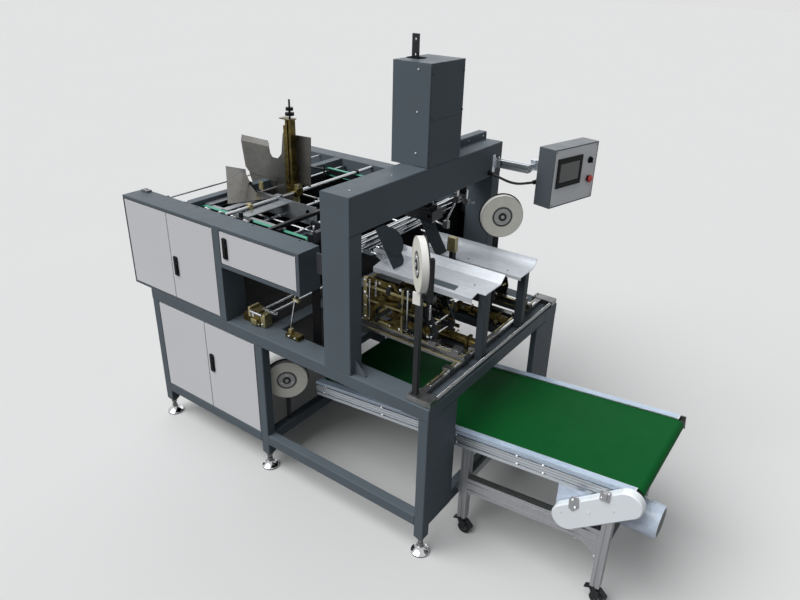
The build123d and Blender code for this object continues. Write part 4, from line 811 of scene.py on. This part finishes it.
with piece("head_discs", brass) as bm:
    for x, y, z, radius in (
        (-505, 352, 1004, 30), (-432, 350, 948, 24), (-330, 368, 1020, 30),
        (-268, 370, 925, 22), (-350, 366, 925, 20), (-560, 352, 950, 16),
    ):
        rim = ((0, radius), (5, radius), (5.5, radius * 0.7))
        turned(bm, P(x, y, z), -Y_WAY, rim + ((12, radius * 0.66), (13, radius * 0.4)))
    turned(bm, P(-396, 884, 1050), -Y_WAY, ((0, 38), (12, 38), (13, 30), (22, 28), (24, 12)), 28)
with piece("head_dark_discs", dark_steel) as bm:
    for x, y, z, radius in (
        (-470, 353, 1068, 20), (-395, 348, 1022, 17), (-290, 366, 974, 16), (-540, 353, 900, 15),
        (-360, 366, 1070, 15),
    ):
        stations = ((0, radius), (9, radius), (10, radius * 0.6), (16, radius * 0.55))
        turned(bm, P(x, y, z), -Y_WAY, stations, 20)
    turned(bm, P(-319, 600, 930), -UP, ((0, 16), (10, 24), (84, 24), (90, 18), (102, 18)), 24)
with piece("head_levers", brass, 0.0006) as bm:
    for a, b, y in (
        ((-505, 1004), (-395, 1022), 334), ((-432, 948), (-330, 1020), 334),
        ((-330, 1020), (-268, 925), 346), ((-560, 950), (-505, 1004), 338),
        ((-350, 925), (-290, 974), 348),
    ):
        way = Vector((b[0] - a[0], 0, b[1] - a[1])).normalized()
        side = Vector((-way.z, 0, way.x)) * 8
        ends = [Vector((a[0], 0, a[1])) - way * 10, Vector((b[0], 0, b[1])) + way * 10]
        corners = [ends[0] - side, ends[1] - side * 0.7, ends[1] + side * 0.7, ends[0] + side]
        plate_xz(bm, [(c.x, c.z) for c in corners], (y, y + 5))
with piece("head_rods", bright_bar) as bm:
    rod(bm, P(-352, 330, 917), P(-352, 330, 1112), 5)
    rod(bm, P(-572, 334, 900), P(-572, 334, 1096), 4)
    for x, z in ((-372, 905), (-372, 1060), (-235, 905), (-300, 1050), (-240, 960)):
        rod(bm, P(x, 356, z), P(x, 530, z), 6)
        rod(bm, P(x, 838, z), P(x, 1020, z), 6)
    for z in (1010, 1046, 1078):
        rod(bm, P(-560, 690, z), P(-130, 690, z), 4)
    rod(bm, P(-551, 800, 1277), P(-454, 800, 1258), 5)
    rod(bm, P(-462, 800, 1282), P(-417, 800, 1391), 5)
    rod(bm, P(-437, 860, 1391), P(-345, 860, 1391), 6)
    rod(bm, P(-387, 860, 1380), P(-387, 860, 1450), 5)
    rod(bm, P(-548, 800, 1272), P(-548, 800, 1462), 7)
    rod(bm, P(-440, 860, 1380), P(-440, 860, 1462), 7)
    for y, z in ((430, 1190), (470, 1206), (850, 1180)):
        rod(bm, P(-640, y, z), P(-560, y, z), 7)
with piece("head_clamps", ground_steel, 0.001) as bm:
    slab(bm, (-562, -534), (788, 812), (1262, 1300))
    slab(bm, (-472, -446), (788, 812), (1252, 1290))
    slab(bm, (-455, -425), (846, 874), (1376, 1406))
    slab(bm, (-400, -374), (848, 872), (1378, 1404))
    slab(bm, (-540, -470), (380, 420), (1020, 1052))
    slab(bm, (-380, -300), (400, 430), (960, 990))
    for x in (-560, -500, -440, -330, -270, -200, -150):
        slab(bm, (x, x + 22), (676, 700), (1052, 1088))
with piece("head_springs", bright_bar) as bm:
    for x, y, top, foot, radius, turns in (
        (-545, 345, 1098, 1020, 6.5, 13), (-366, 352, 1086, 1000, 6.5, 14),
        (-250, 362, 1060, 990, 6, 12), (-470, 846, 1088, 1000, 6.5, 14),
    ):
        spring(bm, P(x, y, top), P(x, y, foot), radius, 1.2, turns)
    spring(bm, P(-300, 690, 1120), P(-220, 690, 1120), 6, 1.2, 12)
front_spots = [(x, 355, z) for x in (-590, -530, -470, -410) for z in (886, 1090)]
front_spots += [(-590, 338, z) for z in (1010, 1070)] + [(-602, 338, z) for z in (900, 960, 1030, 1095)]
front_spots += [(x, 372, z) for x in (-380, -320, -262) for z in (892, 1078)]
fixings(bolt, "head_bolts", chrome, front_spots, -Y_WAY, 4.5)

# The small parts between the side plates: spacers, pins, blocks and collars, laid out by a seeded draw
PARTS = {"head_pins": (ground_steel, []), "head_spacers": (brass, []), "head_collars": (dark_steel, []),
         "head_studs": (pale_brass, [])}
AREAS = (((-598, -210), (372, 520), (884, 1096)), ((-598, -190), (800, 1010), (884, 1080)),
         ((-590, -120), (560, 600), (812, 860)), ((-590, -120), (800, 832), (812, 860)))
for area, count in zip(AREAS, (30, 30, 8, 8)):
    for key, (mat, shapes) in PARTS.items():
        for k in range(count):
            at = [chance.uniform(low, high) for low, high in area]
            way = chance.choice((X_WAY, Y_WAY, UP))
            shapes.append((at, way, chance.uniform(12, 46), chance.uniform(3, 10)))
for key, (mat, shapes) in PARTS.items():
    with piece(key, mat) as bm:
        for at, way, long, radius in shapes:
            end = P(*at) + way * long / 1000
            if key == "head_spacers":
                half = radius * 1.2
                slab(bm, (at[0], at[0] + long), (at[1], at[1] + half), (at[2], at[2] + half * 1.4))
            elif key == "head_collars":
                rim = ((0, radius * 1.2), (4, radius * 1.5), (radius + 4, radius * 1.5), (radius + 5, radius))
                turned(bm, P(*at), way, rim, 16)
            elif key == "head_studs":
                rod(bm, P(*at), end, radius * 0.6, 10)
                turned(bm, end, way, ((0, radius), (radius, radius)), 6)
            else:
                rod(bm, P(*at), end, radius * 0.7, 12)

# Strips, bolts and carriages along the slide rails and the end rail
with piece("rail_strips", pale_brass, 0.0004) as bm:
    for near in SLIDE_NEAR:
        slab(bm, SLIDE_X, (near + 17, near + 27), (SLIDE_TOP, SLIDE_TOP + 3))
        slab(bm, SLIDE_X, (near + 1, near + 8), (845, 848))
    slab(bm, (-93, -86), (120, 640), (833, 836))
    slab(bm, (-93, -86), (700, 1120), (833, 836))
with piece("rail_ways", bright_bar, 0.0004) as bm:
    for near in SLIDE_NEAR:
        slab(bm, SLIDE_X, (near + 33, near + 46), (SLIDE_TOP, SLIDE_TOP + 2))
        slab(bm, SLIDE_X, (near + 58, near + 64), (845, 847))
    slab(bm, (-79, -70), (120, 1120), (833, 835))
    slab(bm, (-247, -79), (476, 500), (800, 806))
with piece("slide_carriages", ground_steel, 0.001) as bm:
    for near in SLIDE_NEAR:
        for x in (-240, -120):
            slab(bm, (x, x + 40), (near + 10, near + 56), (874, 892))
    slab(bm, (-296, -60), (905, 930), (806, 838))
    slab(bm, (-296, -60), (940, 958), (806, 826))
    for y in (250, 470, 900):
        slab(bm, (-100, -60), (y, y + 34), (836, 852))
rail_spots = [(x, near + 22, 874) for near in SLIDE_NEAR for x in range(-570, -60, 62)]
rail_spots += [(x, near + 40, 892) for near in SLIDE_NEAR for x in (-228, -212, -108, -92)]
rail_spots += [(-89, y, 836) for y in range(140, 640, 70)] + [(-105, y, 836) for y in (20, 52, 1182, 1212)]
fixings(screw, "rail_screws", dark_steel, rail_spots, UP, 4)
with piece("end_screw_thread", bright_bar) as bm:
    spring(bm, P(-12, 68, 824), P(-12, 1166, 824), 8.1, 0.9, 120, 5)
with piece("chute_patch", frame_paint) as bm:
    prism(bm, [P(-288, 414, 1139), P(-162, 414, 1139), P(-162, 450, 1147), P(-288, 450, 1147)], UP * 0.0015)
chute_spots = [(x, y, z) for x in (-560, -330, -110) for y, z in ((500, 1152), (820, 1112))]
fixings(screw, "chute_screws", ground_steel, chute_spots, UP, 4)
blocks("tape_end_guide", white_tape, 0.0004, ((-92, -58), (-12, -4), (1270, 1320)))


# Feeder: collars, nuts, brackets, clamps and a nip mechanism

# Each bar: x, z and radius
BARS = ((-1333, 1292, 10), (-1760, 1292, 5), (-1285, 1216, 8), (-1547, 1260, 8), (-845, 1260, 8),
        (-745, 1290, 8))
BRACKET_X = (-1457, -1359, -1271, -1610, -1180)
with piece("hopper_apron", hopper_steel, 0.0004) as bm:
    plate_xz(bm, ((-1742, 1314), (-1680, 1308), (-1528, 1308), (-1528, 1216), (-1700, 1216)), (685.4, 687.4))
with piece("shaft_collars", dark_steel) as bm:
    for x, z, radius in BARS:
        for y in (134, 1156):
            collar(bm, P(x, y, z), Y_WAY, radius, radius + 8, 11, 24)
nut_spots = [(x, y, 1300) for x, y in zip(BRACKET_X, (139, 144, 143, 140, 140))]
fixings(bolt, "shaft_end_nuts", chrome, nut_spots, UP, 8)
with piece("shaft_brackets", ground_steel, 0.0006) as bm:
    for x in BRACKET_X:
        slab(bm, (x - 16, x + 16), (132, 158), (1294, 1299))
        slab(bm, (x - 16, x + 16), (132, 136), (1262, 1299))
blocks(
    "guide_angles", pale_brass, 0.0006,
    ((-1562, -1519), (490, 499), (1305, 1347)),
    ((-1562, -1519), (470, 499), (1343, 1347)),
    ((-1452, -1425), (490, 499), (1319, 1363)),
)
blocks(
    "bar_clamps", pale_brass, 0.001,
    ((-1352, -1314), (644, 676), (1274, 1334)),
    ((-1350, -1318), (640, 660), (1232, 1274)),
    ((-1349, -1317), (300, 322), (1276, 1310)),
)
with piece("feeder_handles", black_metal) as bm:
    rod(bm, P(-1457, 900, 1355), P(-1372, 900, 1359), 6)
    rod(bm, P(-1356, 900, 1320), P(-1356, 900, 1391), 5)
    rod(bm, P(-1372, 900, 1359), P(-1352, 900, 1359), 9)
with piece("nip_blocks", black_metal, 0.0012) as bm:
    slab(bm, (-791, -760), (158, 190), (1271, 1330))
    slab(bm, (-750, -722), (150, 200), (1300, 1352))
    slab(bm, (-1000, -820), (400, 416), (1226, 1272))
    slab(bm, (-1240, -1060), (260, 272), (1214, 1262))
    slab(bm, (-900, -760), (800, 816), (1226, 1290))
    for y in (240, 330, 620, 740, 980):
        slab(bm, (-862, -828), (y, y + 40), (1238, 1286))
with piece("nip_rods", bright_bar) as bm:
    rod(bm, P(-756, 165, 1300), P(-756, 165, 1372), 5)
    for x, z in ((-1000, 1240), (-930, 1218), (-1120, 1236), (-680, 1262), (-700, 1218)):
        rod(bm, P(x, 150, z), P(x, 1172, z), 7)
    rod(bm, P(-1500, 360, 1240), P(-700, 360, 1240), 6)
    rod(bm, P(-1500, 760, 1236), P(-700, 760, 1236), 6)
    spring(bm, P(-738, 172, 1352), P(-738, 172, 1300), 7, 1.3, 9)
with piece("nip_rollers", rubber) as bm:
    for y in (200, 290, 420, 540, 700, 860, 1010):
        turned(bm, P(-745, y, 1290), Y_WAY, ((0, 20), (2, 22), (26, 22), (28, 20)), 24)
        turned(bm, P(-930, y, 1218), Y_WAY, ((0, 15), (2, 17), (22, 17), (24, 15)), 20)
with piece("nip_collars", chrome) as bm:
    for y in (232, 326, 460, 586, 742, 900, 1050):
        for x, z, radius in ((-745, 1290, 8), (-1000, 1240, 7), (-1285, 1216, 8)):
            collar(bm, P(x, y, z), Y_WAY, radius, radius + 6, 9, 20)


# Open bay: the linkage's bars, bolts and spring

with piece("bay_bars", bright_bar) as bm:
    rod(bm, P(-1022, 74, 862), P(-1022, 720, 862), 9)
    rod(bm, P(-1090, 52, 884), P(-1010, 52, 884), 6)
    rod(bm, P(-1150, 88, 836), P(-1108, 88, 836), 9)
    spring(bm, P(-1046, 100, 890), P(-960, 100, 890), 7, 1.4, 12)
blocks(
    "bay_brackets", pale_brass, 0.0008,
    ((-1108, -1094), (56, 120), (848, 900)),
    ((-1040, -1004), (64, 110), (812, 880)),
    ((-861, -842), (80, 100), (832, 852)),
    ((-824, -790), (82, 98), (1009, 1026)),
    ((-1088, -1050), (50, 60), (815, 846)),
)
bay_spots = [(x, 60, z) for x in (-1090, -1046) for z in (820, 880)]
bay_spots += [(-1022, 64, 826), (-850, 70, 820), (-812, 70, 820), (-806, 82, 1017)]
fixings(bolt, "bay_bolts", chrome, bay_spots, -Y_WAY, 4.5)


# Conveyor: film left on the rails, end plates, bolts, corner brackets and the wheels under its legs

FILM_U = range(-838, 788, 25)
with piece("rail_film", blue_film) as bm:
    for (low, high), edge in ((NEAR_RAIL, CONVEYOR_Y[0] - 0.5), (FAR_RAIL, CONVEYOR_Y[1] + 0.5)):
        top = [on_rail(u, 0.7 + chance.uniform(0, 0.5), (low + high) / 2) for u in FILM_U]
        strip(bm, top, Y_WAY * (RAIL_WIDTH - 5) / 1000, 0.35)
        side = [on_rail(u, -9 + chance.uniform(-0.6, 0.6), edge) for u in FILM_U]
        strip(bm, side, UP * 0.012, 0.3)
with piece("rail_caps", black_plastic, 0.0006) as bm:
    for low, high in (NEAR_RAIL, FAR_RAIL):
        for u in (CONVEYOR_U[0] - 1, CONVEYOR_U[1] - 3):
            corners = [on_rail(a, v, low + 2) for a, v in ((u, -2), (u + 4, -2), (u + 4, -60), (u, -60))]
            prism(bm, corners, Y_WAY * (high - low - 4) / 1000)
with piece("rail_bolts", chrome) as bm:
    for u in (-800, -780, -420, 0, 300, 420, 740, 772):
        for v in (-22, -62):
            bolt(bm, on_rail(u, v, CONVEYOR_Y[0]), -Y_WAY, 4.2)
            bolt(bm, on_rail(u, v, CONVEYOR_Y[1]), Y_WAY, 4.2)
# Painted shade: dark strips that stand in for the shade in the pressed grooves along the rails' outer sides
with piece("rail_groove_shade", dark_steel) as bm:
    for edge in (CONVEYOR_Y[0] - 0.3, CONVEYOR_Y[1] + 0.3):
        for v in (-19, -33, -47, -61):
            strip(bm, [on_rail(u, v, edge) for u in (-842, 792)], UP * 0.0014, 0.3)
with piece("leg_gussets", upright, 0.0006) as bm:
    for y in LEG_NEAR:
        plate_xz(bm, ((575, 303), (697, 311), (697, 214), (690, 240), (668, 268), (630, 289)), (y, y + 24))
    for x, way in ((79, 1), (41, -1)):
        outline = ((x, 262), (x + 28 * way, 262), (x + 28 * way, 256), (x + 5 * way, 228), (x, 228))
        for y in LEG_NEAR:
            plate_xz(bm, outline, (y + 3, y + 21))
gusset_spots = [(x, y, z) for y in LEG_NEAR for x, z in ((600, 297), (690, 250))]
fixings(screw, "gusset_bolts", chrome, gusset_spots, -Y_WAY, 4)
with piece("cover_plates", upright, 0.0006) as bm:
    plate_xz(bm, ((563, 520), (575, 545), (600, 548), (608, 500), (585, 469), (566, 478)), (189, 191.2))
    slab(bm, (679, 718), (186, 193), (590, 640))
    slab(bm, (690, 708), (180, 187), (600, 632))
with piece("cover_bolts", chrome) as bm:
    for x, z in ((578, 528), (592, 495), (686, 602), (712, 632)):
        bolt(bm, P(x, 188, z), -Y_WAY, 4.5)
    for x, z in ((540, 440), (650, 500), (740, 560)):
        screw(bm, P(x, 191, z), -Y_WAY, 3.5)
with piece("motor_fan", dark_steel) as bm:
    for k in range(6):
        t = math.pi * k / 3
        spot = Y_WAY * math.cos(t) + UP * math.sin(t)
        middle = P(892.6, MOTOR_Y, MOTOR_Z)
        strip(bm, [middle + spot * 0.016, middle + spot * 0.054], spot.cross(X_WAY) * 0.012, 0.5)
with piece("motor_wrap", film_wrap, angle=60) as bm:
    rows = []
    for k in range(17):
        row = []
        for m in range(30):
            t = 2 * math.pi * m / 30
            swell = 18 if k < 5 else max(0, 18 - 5 * (k - 4))
            radius = (68.5 + swell * (0.6 + 0.4 * math.cos(4 * t)) + chance.uniform(0, 5.5)) / 1000
            spot = (Y_WAY * math.cos(t) + UP * math.sin(t)) * radius
            row.append(bm.verts.new(P(628 + 14 * k, MOTOR_Y, MOTOR_Z) + spot))
        rows.append(row)
    skin(bm, rows, closed=False)
with piece("wheel_hubs", ground_steel) as bm:
    for x, y in CASTERS:
        for face in (-1, 1):
            start = P(x + 14, y + 12 + 11 * face, 30)
            turned(bm, start, Y_WAY * face, ((0, 15), (1.5, 15), (3, 12), (3.5, 7)), 20)
with piece("brake_pedals", black_metal, 0.001) as bm:
    for x, y in CASTERS:
        plate_xz(bm, ((x + 18, 74), (x + 24, 78), (x + 56, 48), (x + 54, 42)), (y, y + 24))
blocks("housing_block", cast_grey, 0.001, ((-1925, -1872), (98, 126), (HOUSING_TOP, BLOCK_TOP)))
with piece("housing_screws", dark_steel) as bm:
    for x in (-1900, -1500, -1100, -800):
        screw(bm, P(x, 118, HOUSING_TOP if x > -1850 else BLOCK_TOP), UP, 3.5)

# The shields' round faces, and the flared mouth of the front chute
# The shields' faces take the darker slate paint, which is painted shade.
with piece("shield_faces", shaded_slate_paint, 0.0006) as bm:
    for y, foot_x, foot_z, radius, share in ((478, -490, 1152, 70, 0.42), (800, -470, 1112, 52, 0.24)):
        run = P(foot_x, y, foot_z) - P(-600, y, 1326)
        middle = P(-600, y, 1326) + run * share
        out = run.cross(Y_WAY).normalized()
        turned(bm, middle + out * 0.0035, out, ((0, radius), (2, radius)), 48)
with piece("chute_mouth", sheet_steel, 0.0006) as bm:
    outline = ((-600, 1149), (-628, 1168), (-650, 1196), (-647, 1198), (-625, 1172), (-598, 1153))
    plate_xz(bm, outline, (455, 590))
    slab(bm, (-640, -560), (596, 600), (1152, 1196))


# A lead-in sheet that leans from the slats against the tall side guide, and clamps over the belt
with piece("lead_in_sheet", hopper_steel, angle=60) as bm:
    high = ((-1711, 1397), (-1559, 1398), (-1533, 1353), (-1483, 1308), (-1393, 1293))
    low = ((-1465, 284), (-1446, 321), (-1420, 365), (-1401, 425), (-1366, 477))
    lift = Vector((0, -0.0008, 0.0008))
    rows = []
    for (x, z), (foot_x, foot_y) in zip(high, low):
        head, foot = P(x, 496, z), P(foot_x, foot_y, 1287)
        rows.append([bm.verts.new(q) for q in (head, foot, foot + lift, head + lift)])
    skin(bm, rows)
blocks(
    "belt_clamps", black_metal, 0.001,
    ((-1322, -1186), (169, 199), (1280, 1292)),
    ((-1022, -980), (169, 199), (1280, 1296)),
    ((-1262, -1246), (176, 192), (1290, 1318)),
)


# Floor, backdrop and light

SEEN = 0.752
FLOOR_SEEN = 0.61
FLOOR_LIT = (0.15, 0.15, 0.155, 1)
SKY = (0.62, 0.22)
pale = surface("studio_floor")
mottle = pale.span(pale.noise(0.6, 3, 0.5), 0.3, 0.7, 0, 1)
shown = pale.mix(mottle, (FLOOR_SEEN, FLOOR_SEEN, FLOOR_SEEN, 1), (FLOOR_SEEN * 1.006,) * 3 + (1,))
tone = pale.mix(pale.is_seen(), FLOOR_LIT, shown)
pale.feed(pale.bsdf, Base_Color=tone, Roughness=1, Specular_IOR_Level=0)
mesh = bpy.data.meshes.new("studio_floor")
bm = bmesh.new()
bmesh.ops.create_grid(bm, x_segments=8, y_segments=8, size=60)
bm.to_mesh(mesh)
bm.free()
mesh.materials.append(pale.owner)
floor = place("studio_floor", mesh)

# The sky lights the scene more from the left than from the right; the camera sees an even backdrop.
world = bpy.data.worlds.new("studio")
bpy.context.scene.world = world
air = Shader(world, "Generated")
sky = air.node("ShaderNodeBackground")
sky.inputs[0].default_value = (0.96, 0.985, 1, 1)
air.link(air.span(air.axis("X"), -1, 1, *SKY), sky.inputs[1])
backdrop = air.node("ShaderNodeBackground")
backdrop.inputs[0].default_value = (SEEN, SEEN, SEEN, 1)
choose = air.node("ShaderNodeMixShader")
for socket, source in zip(choose.inputs, (air.is_seen(), sky.outputs[0], backdrop.outputs[0])):
    air.link(source, socket)
air.link(choose.outputs[0], air.node("ShaderNodeOutputWorld").inputs[0])

for label, energy, spread, towards in (
    ("key", 2.9, 50, (-0.45, -0.75, 1.25)),
    ("rear_fill", 0.6, 70, (-0.6, 0.7, 0.4)),
):
    sun = bpy.data.lights.new(label, "SUN")
    sun.energy = energy
    sun.angle = math.radians(spread)
    lamp = place(label, sun)
    lamp.rotation_euler = Vector(towards).to_track_quat("Z", "Y").to_euler()

bpy.context.scene.view_settings.view_transform = "Standard"
